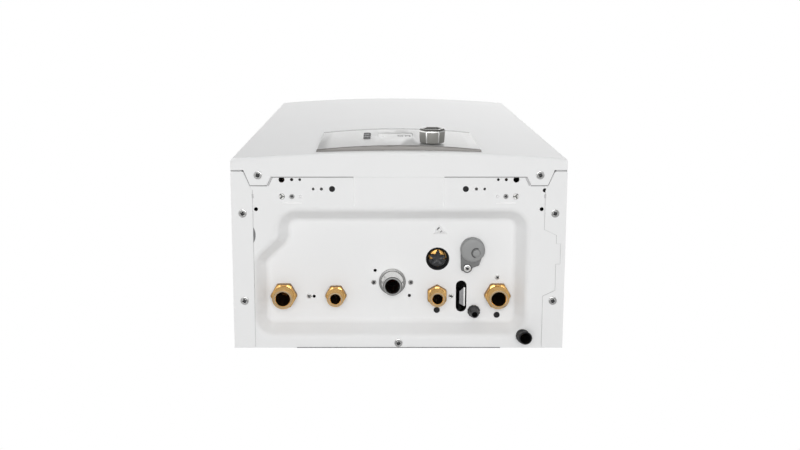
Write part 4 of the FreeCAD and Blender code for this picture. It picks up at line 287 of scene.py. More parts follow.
# %% Finishes by name
ALONG_Z, RINGS_Z = (1.0, 1.0, 0.05), (0.02, 0.02, 1.0)
moulded("white_enamel", (0.80, 0.802, 0.802), 0.5, 900.0, 20, mottle=0.004, gloss=0.08, vary=0.01)
worked("galvanised_steel", (0.56, 0.57, 0.58), 0.42, 90.0, 20)
worked("stainless_steel", (0.52, 0.52, 0.51), 0.3, 900.0, 20, ALONG_Z)
worked("zinc_screw", (0.47, 0.47, 0.465), 0.3, 1200.0, 10)
worked("brass_fitting", (0.64, 0.40, 0.155), 0.28, 2600.0, 30, RINGS_Z)
worked("nickel_fitting", (0.78, 0.775, 0.765), 0.2, 900.0, 4, RINGS_Z)
worked("copper_tube", (0.66, 0.29, 0.17), 0.28, 1200.0, 20, ALONG_Z)
moulded("cast_metal", (0.06, 0.065, 0.07), 0.55, 700.0, 120)
moulded("die_cast", (0.46, 0.47, 0.48), 0.4, 900.0, 60, metallic=1.0)
moulded("vessel_paint", (0.32, 0.02, 0.015), 0.3, 500.0, 30)
moulded("silver_fascia", (0.60, 0.60, 0.595), 0.36, 2400.0, 10, metallic=0.25)
moulded("knob_metal", (0.19, 0.186, 0.172), 0.42, 1500.0, 20, metallic=0.1, gloss=0.4)
moulded("key_plastic", (0.07, 0.07, 0.075), 0.45, 1600.0, 20)
moulded("display_glass", (0.37, 0.372, 0.366), 0.3, 300.0, 4, mottle=0.01, gloss=0.2)
moulded("white_plastic", (0.78, 0.78, 0.76), 0.42, 1200.0, 20, mottle=0.01)
moulded("grey_plastic", (0.265, 0.268, 0.267), 0.5, 1500.0, 50)
moulded("black_plastic", (0.015, 0.015, 0.017), 0.36, 1400.0, 30, gloss=0.35)
moulded("black_rubber", (0.012, 0.012, 0.013), 0.62, 1800.0, 50, gloss=0.2)
moulded("circuit_board", (0.015, 0.10, 0.045), 0.35, 600.0, 30)
moulded("electrode_ceramic", (0.78, 0.74, 0.64), 0.6, 900.0, 30)
slot_of = {part["node"]: part["material_slot"] for part in frame["record"]["subparts"]}
for name, node in nodes.items():
    node.data.materials.clear()
    node.data.materials.append(finishes[slot_of[name]])
print("finishes:", len(set(slot_of.values())), "on", len(nodes), "nodes")

# %% [markdown]
# ## Making meshes from rings
#
# Most of the small pieces here are turned or pressed: a fitting, a screw, a knob, a cap. A lathe
# shape is a stack of rings, and a hexagon or a star is the same stack with a reach that depends on
# the angle. So one helper gives a ring of points, one joins the rings with quads, and one turns the
# finished shape into a piece in metres that rides on a body and may stand for a node of the model.

# %% Rings and stacks
STEPS = 96


def ring(centre, radius, height, outline=None, steps=STEPS):
    points = []
    for step in range(steps):
        angle = 2.0 * pi * step / steps
        reach = radius if outline is None else outline(angle, radius)
        x, y = centre[0] + reach * cos(angle), centre[1] + reach * sin(angle)
        points.append(Vector((x, y, height)))
    return points


def rings_of(centre, profile, outline=None, steps=STEPS):
    """One ring for each radius and height of a profile."""
    return [ring(centre, radius, height, outline, steps) for radius, height in profile]


def stack(shape, rings, hollow=False):
    """Quads between neighbouring rings; the ends are capped, or joined to each other round a bore."""
    rows = [[shape.verts.new(point) for point in points] for points in rings]
    count = len(rows[0])
    pairs = list(zip(rows, rows[1:]))
    if hollow:
        pairs.append((rows[-1], rows[0]))
    for low, high in pairs:
        for i in range(count):
            j = (i + 1) % count
            shape.faces.new((low[i], low[j], high[j], high[i]))
    if not hollow:
        shape.faces.new(list(reversed(rows[0])))
        shape.faces.new(rows[-1])


print("a ring has", len(ring((0, 0), 1.0, 0.0)), "points")

# %% Pieces
WELD = 1e-7


def new_object(name, shape, materials, sharp):
    mesh = bpy.data.meshes.new(name)
    shape.to_mesh(mesh)
    shape.free()
    for material in materials:
        mesh.materials.append(material)
    mesh.shade_smooth()
    mesh.set_sharp_from_angle(angle=radians(sharp))
    return new_thing(name, mesh)


def settle(thing, body, replaced):
    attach(thing, body)
    if replaced:
        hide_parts(replaced)
    print(thing.name, len(thing.data.polygons), "faces")


def piece(name, shape, slot, body="boiler", replaced=None, sharp=32.0, main=None, extra=()):
    """Piece from a shape in millimetres; main and extra name the finishes its faces point to."""
    place = Matrix.Translation((0.0, 0.0, -HANG_HEIGHT * MM)) @ Matrix.Scale(MM, 4)
    bmesh.ops.transform(shape, matrix=place, verts=shape.verts)
    bmesh.ops.remove_doubles(shape, verts=shape.verts, dist=WELD)
    bmesh.ops.recalc_face_normals(shape, faces=shape.faces)
    materials = [finishes[label] for label in (main or slot, *extra)]
    settle(new_object(name, shape, materials, sharp), body, replaced)


print("piece ready")

# %% [markdown]
# ## Brass pipe connections
#
# Four brass nipples leave the recess: heating flow and return with the larger thread, hot and cold
# water with the smaller one. Each is forged with a hexagon for the spanner and then turned, so the
# hexagon has a chamfer, the end a bevelled ring and the bore is open. The reach of a ring is the
# smaller of the hexagon and the chamfer's cone. The end is turned, the sides of the nut are painted
# darker as a dark reflection, and the bore is painted dark as shade.

# %% Hexagon, barrel and bore
worked("forged_brass", (0.47, 0.27, 0.085), 0.4, 700.0, 50, mottle=0.16)
# Painted dark reflection for the sides of the nut, and painted shade for the bore.
worked("nut_side_painted_dark_reflection", (0.27, 0.145, 0.045), 0.42, 700.0, 50, mottle=0.16)
worked("turned_brass_face", (0.345, 0.265, 0.17), 0.42, 900.0, 10, mottle=0.06)
worked("brass_bore_painted_shade", (0.10, 0.065, 0.035), 0.5, 900.0, 20, mottle=0.1)
PIPE_ROW = -62.5
LARGE = {"flat": 28.5, "thread": 13.2, "bore": 8.6, "spigot": 11.5}
SMALL = {"flat": 23.0, "thread": 10.5, "bore": 6.1, "spigot": 9.0}
connections = {
    "heating_flow_connection": (-140.0, LARGE, 30.0), "hot_water_connection": (-76.5, SMALL, 30.0),
    "cold_water_connection": (47.2, SMALL, 60.0), "heating_return_connection": (121.0, LARGE, 30.0)}
THREAD_DEPTH = 1.0
RECESS_FLOOR = 18.0
BARREL_END, HEX_LOW, HEX_HIGH, SPIGOT_TOP = -5.0, 10.0, RECESS_FLOOR, 45.0
BARREL, CHAMFER, END_FACE, NUT_SIDE, BORE = range(5)


def hexagon(flat, turn):
    sixth = pi / 3.0

    def reach(angle, limit):
        part = (angle - radians(turn) + sixth / 2.0) % sixth - sixth / 2.0
        return min(limit, flat / 2.0 / cos(part))
    return reach


def off_axis(spot, centre):
    return hypot(spot.x - centre[0], spot.y - centre[1])


# The sides of the nut take a finish of painted reflection and the bore a finish of painted shade.
def brass_face(level, reach, bore):
    """Which finish a face of a connection has."""
    if reach < bore + 0.1:
        return BORE
    if HEX_LOW < level < HEX_HIGH:
        return NUT_SIDE if HEX_LOW + 1.2 < level < HEX_HIGH - 0.6 else CHAMFER
    return END_FACE if level < BARREL_END + 0.2 else BARREL


for name, (x, size, turn) in connections.items():
    centre = (x, PIPE_ROW)
    flat, root, bore = size["flat"], size["thread"] - THREAD_DEPTH, size["bore"]
    corner = flat / sqrt(3.0)
    rings = rings_of(centre, (
        (bore, SPIGOT_TOP), (bore, BARREL_END + 1.0), (bore + 0.9, BARREL_END),
        (root - 1.0, BARREL_END), (root - 0.2, BARREL_END + 0.5), (root, BARREL_END + 1.3),
        (root, HEX_LOW - 1.6), (root - 0.5, HEX_LOW - 1.0), (root - 0.5, HEX_LOW - 0.1)))
    rings += rings_of(centre, (
        (flat / 2.0 * 0.985, HEX_LOW), (flat / 2.0 + 0.5 * (corner - flat / 2.0), HEX_LOW + 0.45),
        (corner - 0.25, HEX_LOW + 1.1), (corner - 0.25, HEX_HIGH - 0.6), (corner - 0.9, HEX_HIGH)),
        hexagon(flat, turn))
    rings += rings_of(centre, ((size["spigot"], HEX_HIGH), (size["spigot"], SPIGOT_TOP)))
    shape = bmesh.new()
    stack(shape, rings, hollow=True)
    for face in shape.faces:
        spot = face.calc_center_median()
        face.material_index = brass_face(spot.z, off_axis(spot, centre), bore)
    piece(name + "_body", shape, "brass_fitting", replaced=name, sharp=24.0,
          extra=("forged_brass", "turned_brass_face", "nut_side_painted_dark_reflection", "brass_bore_painted_shade"))

# %% [markdown]
# ## Pipe threads
#
# A pipe thread is one ridge that winds round the barrel. Cutting it with a boolean would be slow,
# and a bump map would not show on the outline. A Geometry Nodes tree draws the winding line and
# sweeps a small diamond along it, half sunk in the barrel. The radius, the pitch, the turns and the
# size of the ridge are inputs, so the same tree serves both pipe sizes.

# %% Helpers for node trees


def new_tree(name, **inputs):
    """Tree and what it is given; the kinds of its inputs are told by name."""
    tree = bpy.data.node_groups.new(name, "GeometryNodeTree")
    for label, kind in {"Geometry": "Geometry", **inputs}.items():
        tree.interface.new_socket(label, in_out="INPUT", socket_type="NodeSocket" + kind)
    tree.interface.new_socket("Geometry", in_out="OUTPUT", socket_type="NodeSocketGeometry")
    return tree, add(tree, "NodeGroupInput")


def swept(tree, line, radius, corners):
    """Mesh of a small round or cornered section along a line."""
    section = add(tree, "GeometryNodeCurvePrimitiveCircle", {"Resolution": corners, "Radius": radius})
    return add(tree, "GeometryNodeCurveToMesh", {
        "Curve": line, "Profile Curve": section[0], "Fill Caps": True})[0]


def end_tree(tree, geometry, *coats):
    """Realize the instances, coat them with one or more finishes and give the result."""
    geometry = add(tree, "GeometryNodeRealizeInstances", {"Geometry": geometry})[0]
    for coat in coats:
        geometry = add(tree, "GeometryNodeSetMaterial", {"Geometry": geometry, **coat})[0]
    add(tree, "NodeGroupOutput", {"Geometry": geometry})


def grow(tree, base, settings):
    """Run a tree on a base mesh and give the result as a plain mesh."""
    holder = new_thing("holder", base)
    step = holder.modifiers.new("grow", "NODES")
    step.node_group = tree
    for item in tree.interface.items_tree:
        if item.in_out == "INPUT" and item.name in settings:
            step[item.identifier] = settings[item.name]
    bpy.context.view_layer.update()
    grown = holder.evaluated_get(bpy.context.evaluated_depsgraph_get())
    mesh = bpy.data.meshes.new_from_object(grown)
    holder.modifiers.remove(step)
    bpy.data.objects.remove(holder)
    return mesh


def grown_piece(name, meshes, slot, replaced=None, sharp=40.0):
    """One piece from the meshes that a tree has grown, already in metres."""
    shape = bmesh.new()
    used = []
    for mesh in meshes:
        first = len(shape.faces)
        shape.from_mesh(mesh)
        shape.faces.ensure_lookup_table()
        own = [material or finishes[slot] for material in mesh.materials]
        used += [material for material in own if material not in used]
        for face in shape.faces[first:]:
            face.material_index = used.index(own[face.material_index])
    bmesh.ops.recalc_face_normals(shape, faces=shape.faces)
    settle(new_object(name, shape, used, sharp), "boiler", replaced)


print("tree helpers ready")

# %% Thread tree
THREAD_PITCH, THREAD_TURNS, THREAD_START = 1.814, 6.0, 2.4
RIDGE_SHARE = 0.9
THREAD_RESOLUTION, DIAMOND = 48, 4
thread_tree, given = new_tree(
    "pipe_thread", Radius="Float", Pitch="Float", Turns="Float", Ridge="Float", Place="Vector",
    Finish="Material")
winding = add(thread_tree, "GeometryNodeCurveSpiral", {
    "Resolution": THREAD_RESOLUTION, "Rotations": given["Turns"], "Start Radius": given["Radius"],
    "End Radius": given["Radius"],
    "Height": reckon(thread_tree, "MULTIPLY", given["Turns"], given["Pitch"])})
upright = add(thread_tree, "GeometryNodeSetCurveNormal", {"Curve": winding[0]}, mode="Z_UP")
ridge = swept(thread_tree, upright[0], given["Ridge"], DIAMOND)
moved = add(thread_tree, "GeometryNodeTransform", {"Geometry": ridge, "Translation": given["Place"]})
end_tree(thread_tree, moved[0], {"Material": given["Finish"]})

threads = [grow(thread_tree, bpy.data.meshes.new("thread_start"), {
    "Radius": (size["thread"] - THREAD_DEPTH) * MM, "Pitch": THREAD_PITCH * MM, "Turns": THREAD_TURNS,
    "Ridge": THREAD_DEPTH * RIDGE_SHARE * MM, "Place": at(x, PIPE_ROW, BARREL_END + THREAD_START)[:],
    "Finish": finishes["brass_fitting"]}) for x, size, _ in connections.values()]
grown_piece("connection_threads", threads, "brass_fitting")

# %% [markdown]
# ## Gas connection
#
# The gas comes in through a plated steel nipple with a round collar against the recess floor. It is
# turned all over, so it is a lathe shape: a flat collar, a cone and a tube with a bevelled end. The
# flat faces have a darker turned finish of their own, and the bevels are painted darker still as
# shade, which gives the plating its rings.

# %% Gas nipple
worked("turned_steel_face", (0.22, 0.22, 0.217), 0.4, 1500.0, 20)
# Painted shade: the darker bevel finish stands for the shade on the nipple's bevels.
worked("steel_bevel_painted_shade", (0.10, 0.10, 0.098), 0.4, 1500.0, 20)
GAS_LINE = (-7.5, -79.6)
GAS_END, COLLAR_FACE, COLLAR_EDGE = -8.0, 13.0, 15.8
END_BEVEL, COLLAR_BEVEL, FLAT_WITHIN = 2.0, 0.7, 0.05
shape = bmesh.new()
stack(shape, rings_of(GAS_LINE, (
    (8.7, 45.0), (8.7, -7.4), (8.95, -7.8), (9.2, GAS_END), (10.9, GAS_END), (11.4, -7.6), (11.6, -6.6),
    (11.4, 1.2), (11.8, 3.2), (12.6, 6.2), (13.5, 9.2), (14.15, 11.8), (14.4, COLLAR_FACE),
    (COLLAR_EDGE, COLLAR_FACE), (16.1, 13.1), (16.3, 13.6), (16.3, RECESS_FLOOR), (11.0, RECESS_FLOOR),
    (11.0, 45.0))), hollow=True)
# The bevels at the end and round the collar's rim take the bevel finish of painted shade.
for face in shape.faces:
    spot = face.calc_center_median()
    rim = off_axis(spot, GAS_LINE) >= COLLAR_EDGE
    near_end, near_collar = abs(spot.z - GAS_END), abs(spot.z - COLLAR_FACE)
    flat = near_end < FLAT_WITHIN or near_collar < FLAT_WITHIN and not rim
    bevel = spot.z < GAS_END + END_BEVEL or rim and spot.z < COLLAR_FACE + COLLAR_BEVEL
    face.material_index = 1 if flat else 2 if bevel else 0
piece("gas_nipple", shape, "nickel_fitting", replaced="gas_connection", sharp=28.0,
      extra=("turned_steel_face", "steel_bevel_painted_shade"))

# %% [markdown]
# ## Screws
#
# Sheet metal screws hold the casing: a domed head with a cross recess, pressed in one with a collar.
# The same screw repeats with its cross turned any way, so a Geometry Nodes tree puts one template on
# every seat and turns it by a seeded random angle. The cross is real geometry, pushed into a dome of
# fine rings. A face attribute marks it and the thin ring beside the collar, and the tree gives those
# faces a dark finish of painted shade.

# %% Screw templates
CROSS_HALF, CROSS_REACH, CROSS_SIDE, CROSS_END, CROSS_DARK = 0.24, 0.74, 1.6, 3.2, 0.35
HEAD_RINGS, SCREW_STEPS, SCREW_SHARP = 14, 48, 50.0
DOME_RIM, DOME_POWER = 0.5, 2.6
SHANK_START = 0.4


def cross_depth(x, y, radius):
    """How far the driver's cross goes in at a point of the head, from 0 to 1."""
    near, far = sorted((abs(x), abs(y)))
    side = min(1.0, max(0.0, CROSS_SIDE - near / (CROSS_HALF * radius)))
    return side * min(1.0, max(0.0, CROSS_END * (1.0 - far / (CROSS_REACH * radius))))


# Painted shade: the cross and the thin ring beside the collar are marked for a dark finish that stands for
# shade.
def screw_template(name, radius, height, collar, collar_height, shank, length):
    """Screw with its seat at zero and its head below; sizes in millimetres."""
    top = -collar_height if collar else 0.0
    profile = [(shank, length), (shank, 0.0)]
    if collar:
        profile += [(collar - 0.15, 0.0), (collar, -0.25), (collar - 0.1, top + 0.2),
                    (collar - 0.5, top), (radius + 0.25, top), (radius + 0.1, top + 0.25)]
    profile.append((radius, top - 0.1))
    rings = rings_of((0, 0), profile, steps=SCREW_STEPS)
    for step in range(HEAD_RINGS, 0, -1):
        share = step / HEAD_RINGS
        points = ring((0, 0), radius * share, 0.0, steps=SCREW_STEPS)
        dome = (height - DOME_RIM) * (1.0 - share ** DOME_POWER) + DOME_RIM
        for point in points:
            point.z = top - dome + height * cross_depth(point.x, point.y, radius)
        rings.append(points)
    shape = bmesh.new()
    stack(shape, rings)
    bmesh.ops.scale(shape, vec=(MM, MM, MM), verts=shape.verts)
    bmesh.ops.recalc_face_normals(shape, faces=shape.faces)
    template = new_object(name, shape, (), SCREW_SHARP)
    dark = template.data.attributes.new("driver_recess", "BOOLEAN", "FACE")
    for face, mark in zip(template.data.polygons, dark.data):
        x, y, z = (value / MM for value in face.center)
        in_cross = z < SHANK_START and cross_depth(x, y, radius) > CROSS_DARK
        in_groove = bool(collar) and radius + 0.05 < hypot(x, y) < radius + 0.3 and z < 0.0
        mark.value = in_cross or in_groove
    return template


casing_screw = screw_template("casing_screw", 3.7, 2.0, 5.0, 1.0, 1.9, 8.0)
small_screw = screw_template("small_screw", 3.1, 1.9, 0.0, 0.0, 1.4, 8.0)
cap_screw = screw_template("cap_screw", 2.9, 1.9, 4.4, 0.8, 1.4, 6.0)
print("templates:", casing_screw.name, small_screw.name, cap_screw.name)

# %% Screw tree
QUARTER_TURN = pi / 2.0
screw_tree, given = new_tree(
    "screws_on_seats", Screw="Object", Seed="Int", Finish="Material", Recess="Material")
turns = add(screw_tree, "FunctionNodeRandomValue", {"Seed": given["Seed"]}, data_type="FLOAT")
low, high = [socket for socket in turns[0].node.inputs if socket.type == "VALUE"][:2]
low.default_value, high.default_value = 0.0, QUARTER_TURN
turn = [socket for socket in turns if socket.type == "VALUE"][0]
about_axis = add(screw_tree, "FunctionNodeAxisAngleToRotation", {"Axis": (0.0, 0.0, 1.0), "Angle": turn})
screw_info = add(screw_tree, "GeometryNodeObjectInfo", {"Object": given["Screw"]})
placed = add(screw_tree, "GeometryNodeInstanceOnPoints", {
    "Points": given["Geometry"], "Instance": screw_info["Geometry"], "Rotation": about_axis[0]})
recess = add(screw_tree, "GeometryNodeInputNamedAttribute", {"Name": "driver_recess"}, data_type="BOOLEAN")
end_tree(screw_tree, placed[0], {"Material": given["Finish"]},
         {"Material": given["Recess"], "Selection": recess["Attribute"]})
print("screw tree:", len(screw_tree.nodes), "nodes")

# %% Screws on their seats
# Painted shade: the dark finish in the cross and in the gap at the collar.
moulded("driver_recess", (0.06, 0.06, 0.061), 0.6, 900.0, 10, metallic=0.6)
worked("bright_zinc", (0.86, 0.86, 0.85), 0.28, 1200.0, 10)
SIDES = (-1.0, 1.0)
PLATE_FACE = 1.0
FOOT_ROW = -188.0
CAP_SCREW_LINE, CAP_FOOT_FACE = (83.5, -97.4), 11.0


def screws(template, seats, seed, label="zinc_screw"):
    base = bpy.data.meshes.new(template.name + "_seats")
    base.from_pydata([at(*seat) for seat in seats], [], [])
    return grow(screw_tree, base, {
        "Screw": template, "Seed": seed, "Finish": finishes[label], "Recess": finishes["driver_recess"]})


casing_seats = [(side * x, y, 0.0) for side in SIDES
                for x, y in ((167.5, -213.8), (186.5, -167.6), (186.5, -59.8))]
casing_seats.append((0.0, -6.2, PLATE_FACE))
water_seats = [(x, y, RECESS_FLOOR) for x, y in ((-109.4, -60.4), (64.6, -60.4), (121.0, -84.4))]
small_seats = [(x, -78.0, RECESS_FLOOR) for x in (-30.1, 15.1)]
small_seats += [(side * 127.5, FOOT_ROW, PLATE_FACE) for side in SIDES]
grown_piece("casing_screw_set", [screws(casing_screw, casing_seats, 4)], "zinc_screw",
            "casing_screws", SCREW_SHARP)
recess_screws = [screws(small_screw, small_seats, 7), screws(small_screw, water_seats, 5, "bright_zinc"),
                 screws(cap_screw, [(*CAP_SCREW_LINE, CAP_FOOT_FACE)], 2, "bright_zinc")]
grown_piece("recess_screw_set", recess_screws, "zinc_screw", "small_screws", SCREW_SHARP)
for template in (casing_screw, small_screw, cap_screw):
    bpy.data.objects.remove(template)

# %% [markdown]
# ## Rounding the edges of pressed and moulded pieces
#
# The construction model leaves small mouldings with sharp edges. Real ones are rounded, and the
# light on that edge makes them look solid. A copy of the node's mesh is merged, its flat faces are
# joined, and a bevel modifier rounds what is left. The copy then stands for the node. The three
# keys come first.

# %% Soft copies of nodes
NODE_WELD = 1e-6
SOFT_SHARP, ROUND_FROM = 30.0, 40.0


def softened(name, node, width, main, segments=2, body="boiler", flat=1.0):
    shape = bmesh.new()
    shape.from_mesh(nodes[node].data)
    bmesh.ops.remove_doubles(shape, verts=shape.verts, dist=NODE_WELD)
    bmesh.ops.dissolve_limit(shape, angle_limit=radians(flat), verts=shape.verts, edges=shape.edges)
    thing = new_object(name, shape, [finishes[main]], SOFT_SHARP)
    rounding = thing.modifiers.new("rounding", "BEVEL")
    assign(rounding, width=width * MM, segments=segments, limit_method="ANGLE",
           angle_limit=radians(ROUND_FROM), harden_normals=True)
    settle(thing, body, node)


moulded("key_grey_plastic", (0.125, 0.125, 0.128), 0.5, 1600.0, 20)
for key in ("lower_key", "middle_key", "upper_key"):
    softened(key + "_cap", key, 0.5, "key_grey_plastic", body=key)

# %% [markdown]
# ## Control fascia
#
# The controls sit on a bowed silver strip that stands a few millimetres proud of the cover. Its
# lower edge is a darker satin band, and a thin grey line along its top is painted shadow of the gap at
# that edge. Both follow the height, so one finish with a ramp over the Object height paints them, and
# the soft copy rounds the rim.

# %% Fascia with its lower band
FASCIA_LOW, FASCIA_HIGH = 14.0, 186.0
BAND_TOP, LINE_LOW = 16.2, 174.0
# The last colour of the ramp is painted shadow: the dark line of the gap along the fascia's top edge.
SATIN_BAND, SILVER, TOP_GAP_SHADOW = (0.20, 0.193, 0.184), (0.39, 0.39, 0.386), (0.05, 0.05, 0.049)
ALONG_X = (0.03, 1.0, 1.0)
tree, shader, place = new_finish("fascia_silver_and_gap_shadow")
height = add(tree, "ShaderNodeSeparateXYZ", {"Vector": place})["Z"]
share = spread(tree, height, 0.0, 1.0, at(0, 0, FASCIA_LOW).z, at(0, 0, FASCIA_HIGH).z)
stops = [((level - FASCIA_LOW) / (FASCIA_HIGH - FASCIA_LOW), colour) for level, colour in (
    (BAND_TOP, SATIN_BAND), (BAND_TOP + 0.4, SILVER), (LINE_LOW, SILVER), (LINE_LOW + 0.5, TOP_GAP_SHADOW))]
brushed = noise(tree, place, 1500.0, 3.0, ALONG_X)
feed(tree, shader, {
    "Base Color": ramp(tree, share, stops), "Roughness": spread(tree, brushed, 0.3, 0.42),
    "Metallic": 0.2, "Specular IOR Level": 0.2, "Normal": bump(tree, brushed, 10, 0.3)})
softened("fascia_panel", "control_fascia", 1.0, "fascia_silver_and_gap_shadow", 3, flat=0.02)

# %% [markdown]
# ## Display figures
#
# A small window shows the water temperature with two seven-bar figures. They are printed behind the
# glass, so thin bars at its face are enough. Only a plain number is shown.

# %% Two figures from seven bars
FIGURE_X, FIGURE_Z, FIGURE_GAP = -0.2, 98.2, 2.2
WIDE, HIGH, BAR = 7.2, 14.0, 1.8
HALF = HIGH / 2.0
WINDOW_FACE, BAR_FRONT, BAR_BACK = -247.2, 0.12, 0.1
EDGE_CUT = 0.2
bars_of = {"5": "agfdc", "0": "abcdef"}
bar_boxes = {
    "a": (0.0, HIGH - BAR, WIDE, HIGH), "b": (WIDE - BAR, HALF, WIDE, HIGH),
    "c": (WIDE - BAR, 0.0, WIDE, HALF), "d": (0.0, 0.0, WIDE, BAR), "e": (0.0, 0.0, BAR, HALF),
    "f": (0.0, HALF, BAR, HIGH), "g": (0.0, HALF - BAR / 2.0, WIDE, HALF + BAR / 2.0)}


def block(shape, low, high):
    """Box between two corners with its edges taken off."""
    centre = (Vector(low) + Vector(high)) / 2.0
    size = Vector(high) - Vector(low)
    made = bmesh.ops.create_cube(shape, size=1.0)
    bmesh.ops.scale(shape, vec=size, verts=made["verts"])
    bmesh.ops.translate(shape, vec=centre, verts=made["verts"])
    edges = list({edge for vert in made["verts"] for edge in vert.link_edges})
    cut = min(size) * EDGE_CUT
    bmesh.ops.bevel(shape, geom=edges, offset=cut, segments=2, profile=0.5, affect="EDGES")


shape = bmesh.new()
for number, figure in enumerate("50"):
    start = FIGURE_X + number * (WIDE + FIGURE_GAP)
    for bar in bars_of[figure]:
        low_x, low_z, high_x, high_z = bar_boxes[bar]
        block(shape, (start + low_x, WINDOW_FACE - BAR_FRONT, FIGURE_Z + low_z),
              (start + high_x, WINDOW_FACE + BAR_BACK, FIGURE_Z + high_z))
piece("display_figures", shape, "key_plastic")

# %% [markdown]
# ## Control knob
#
# The knob is a six-sided metal cap with slightly full sides. The edges between the sides and the
# front rim are polished bright and the sides are satin. The front is a shallow dish painted dark as
# the shade inside it. It is again a stack of rings, this time along the knob's own axis, and each face
# gets its finish by place.

# %% Six-sided knob
worked("polished_edge", (0.34, 0.34, 0.333), 0.3, 900.0, 10, mottle=0.03)
# Painted shade: the dark dish finish stands for the shade inside the knob's front.
worked("knob_dish_painted_shade", (0.07, 0.068, 0.064), 0.5, 1500.0, 20)
KNOB_X, KNOB_Z, KNOB_REACH = 40.7, 38.0, 16.0
FLAT_SHARE, ROUND_SHARE = 0.72, 0.28
RIM_START, RIM_END, LIP_START = 261.5, 262.9, 265.2
RIM_REACH, EDGE_REACH = 0.9 * KNOB_REACH * 0.87, 12.0
EDGE_TURN = radians(4.2)
six_sides = hexagon(2.0 * KNOB_REACH * cos(pi / 6.0), 30.0)


def full_sides(angle, share):
    return share * (FLAT_SHARE * six_sides(angle, KNOB_REACH) + ROUND_SHARE * KNOB_REACH)


rings = rings_of((KNOB_X, KNOB_Z), (
    (0.90, 248.0), (0.93, 248.4), (0.96, 254.0), (0.985, 261.4), (0.965, 262.8), (0.90, 265.1),
    (0.86, 265.5), (0.80, 265.5), (0.775, 265.0), (0.76, 263.6), (0.40, 263.4), (0.12, 263.3)), full_sides)
shape = bmesh.new()
stack(shape, [[Vector((x, -depth, z)) for x, z, depth in points] for points in rings])
# Faces in the dish take the dark finish painted as shade.
for face in shape.faces:
    spot = face.calc_center_median()
    across, up, depth = spot.x - KNOB_X, spot.z - KNOB_Z, -spot.y
    reach = hypot(up, across)
    off_edge = abs((atan2(up, across) + pi / 6.0) % (pi / 3.0) - pi / 6.0)
    on_rim = RIM_START < depth < RIM_END and reach > RIM_REACH or depth > LIP_START
    in_dish = depth > RIM_END and not on_rim
    on_edge = off_edge < EDGE_TURN and reach > EDGE_REACH
    face.material_index = 1 if on_rim else 2 if in_dish else 1 if on_edge else 0
piece("knob_cap", shape, "knob_metal", body="control_knob", replaced="control_knob", sharp=20.0,
      extra=("polished_edge", "knob_dish_painted_shade"))

# %% [markdown]
# ## Service cap
#
# A grey moulded cap closes the filter housing. It has a round pot with a small boss and a turn mark,
# and a foot whose end wraps round its screw in a shallow well. The foot is painted a darker grey as
# shade, and the turn mark and the well are painted dark as shade. The foot's outline is drawn from
# arcs and straight runs, and stacked with its lower edge drawn in a little.

# %% Outlines and plates


def arc(centre, radius, start, end, count):
    turns = [radians(start + (end - start) * i / (count - 1)) for i in range(count)]
    return [(centre[0] + radius * cos(turn), centre[1] + radius * sin(turn)) for turn in turns]


def drawn_in(outline, step, height):
    middle_x = sum(x for x, y in outline) / len(outline)
    middle_y = sum(y for x, y in outline) / len(outline)
    points = []
    for x, y in outline:
        inward = Vector((middle_x - x, middle_y - y, 0.0)).normalized() * step
        points.append(Vector((x, y, height)) + inward)
    return points


def plate(shape, outline, profile):
    """Stack of one outline, drawn in by a step at each height."""
    stack(shape, [drawn_in(outline, step, height) for step, height in profile])


def paint(shape, first, index):
    """One of the extra finishes for every face from a number on."""
    shape.faces.ensure_lookup_table()
    for face in shape.faces[first:]:
        face.material_index = index


print("an arc over a quarter turn:", arc((0, 0), 1.0, 0.0, 90.0, 3))

# %% Cap with its foot
# Painted shade: the darker foot grey and the dark well finish stand for shade on the same grey plastic.
moulded("well_painted_shade", (0.06, 0.06, 0.06), 0.55, 1500.0, 30)
moulded("foot_grey_painted_shade", (0.165, 0.167, 0.166), 0.5, 1500.0, 50)
CAP_LINE, BOSS_LINE = (90.0, -120.0), (94.2, -117.0)
foot = arc((95.6, -102.6), 2.8, 95.0, 0.0, 8) + arc(CAP_LINE, 14.4, 5.0, -185.0, 24)
foot += arc((78.2, -95.6), 2.0, 180.0, 95.0, 6) + arc((83.3, -98.4), 5.9, 85.0, 12.0, 12)
turn_mark = arc(BOSS_LINE, 6.4, 106.0, 292.0, 24)
turn_mark += arc((BOSS_LINE[0] + 1.2, BOSS_LINE[1]), 5.0, 290.0, 108.0, 24)
shape = bmesh.new()
plate(shape, foot, ((0.0, RECESS_FLOOR), (0.0, 12.0), (0.3, 11.4), (1.0, CAP_FOOT_FACE)))
# The foot takes the darker grey painted as shade.
paint(shape, 0, 1)
foot_faces = len(shape.faces)
plate(shape, turn_mark, ((0.0, 8.4), (0.0, 7.7), (0.0, 7.6)))
stack(shape, rings_of(CAP_SCREW_LINE, ((3.0, 11.4), (3.0, 10.92), (5.5, 10.92), (5.8, 11.4)), steps=48),
      hollow=True)
# The turn mark and the screw well take the dark finish painted as shade.
paint(shape, foot_faces, 2)
stack(shape, rings_of(CAP_LINE, (
    (14.8, RECESS_FLOOR), (14.8, 10.6), (14.5, 9.4), (13.8, 8.6), (12.6, 8.2), (9.0, 8.0), (4.0, 8.0))))
stack(shape, rings_of(BOSS_LINE, ((5.2, 8.4), (4.8, 7.2), (4.5, 6.2), (4.1, 5.6), (3.4, 5.4), (1.0, 5.4))))
piece("service_cap_pot", shape, "grey_plastic", replaced="service_cap", sharp=35.0,
      extra=("foot_grey_painted_shade", "well_painted_shade"))

# %% [markdown]
# ## Drain nozzle and rubber plugs
#
# The drain valve ends in a black hose nozzle that turns by hand, so its collar has grip flutes. Its
# barbs are a lighter grey. Its bore, and a disc that closes the bore, are painted black as shade. Two
# rubber plugs close spare holes: a low dome with a rolled edge. All are lathe shapes, and the flutes
# are a wave on the collar's reach.

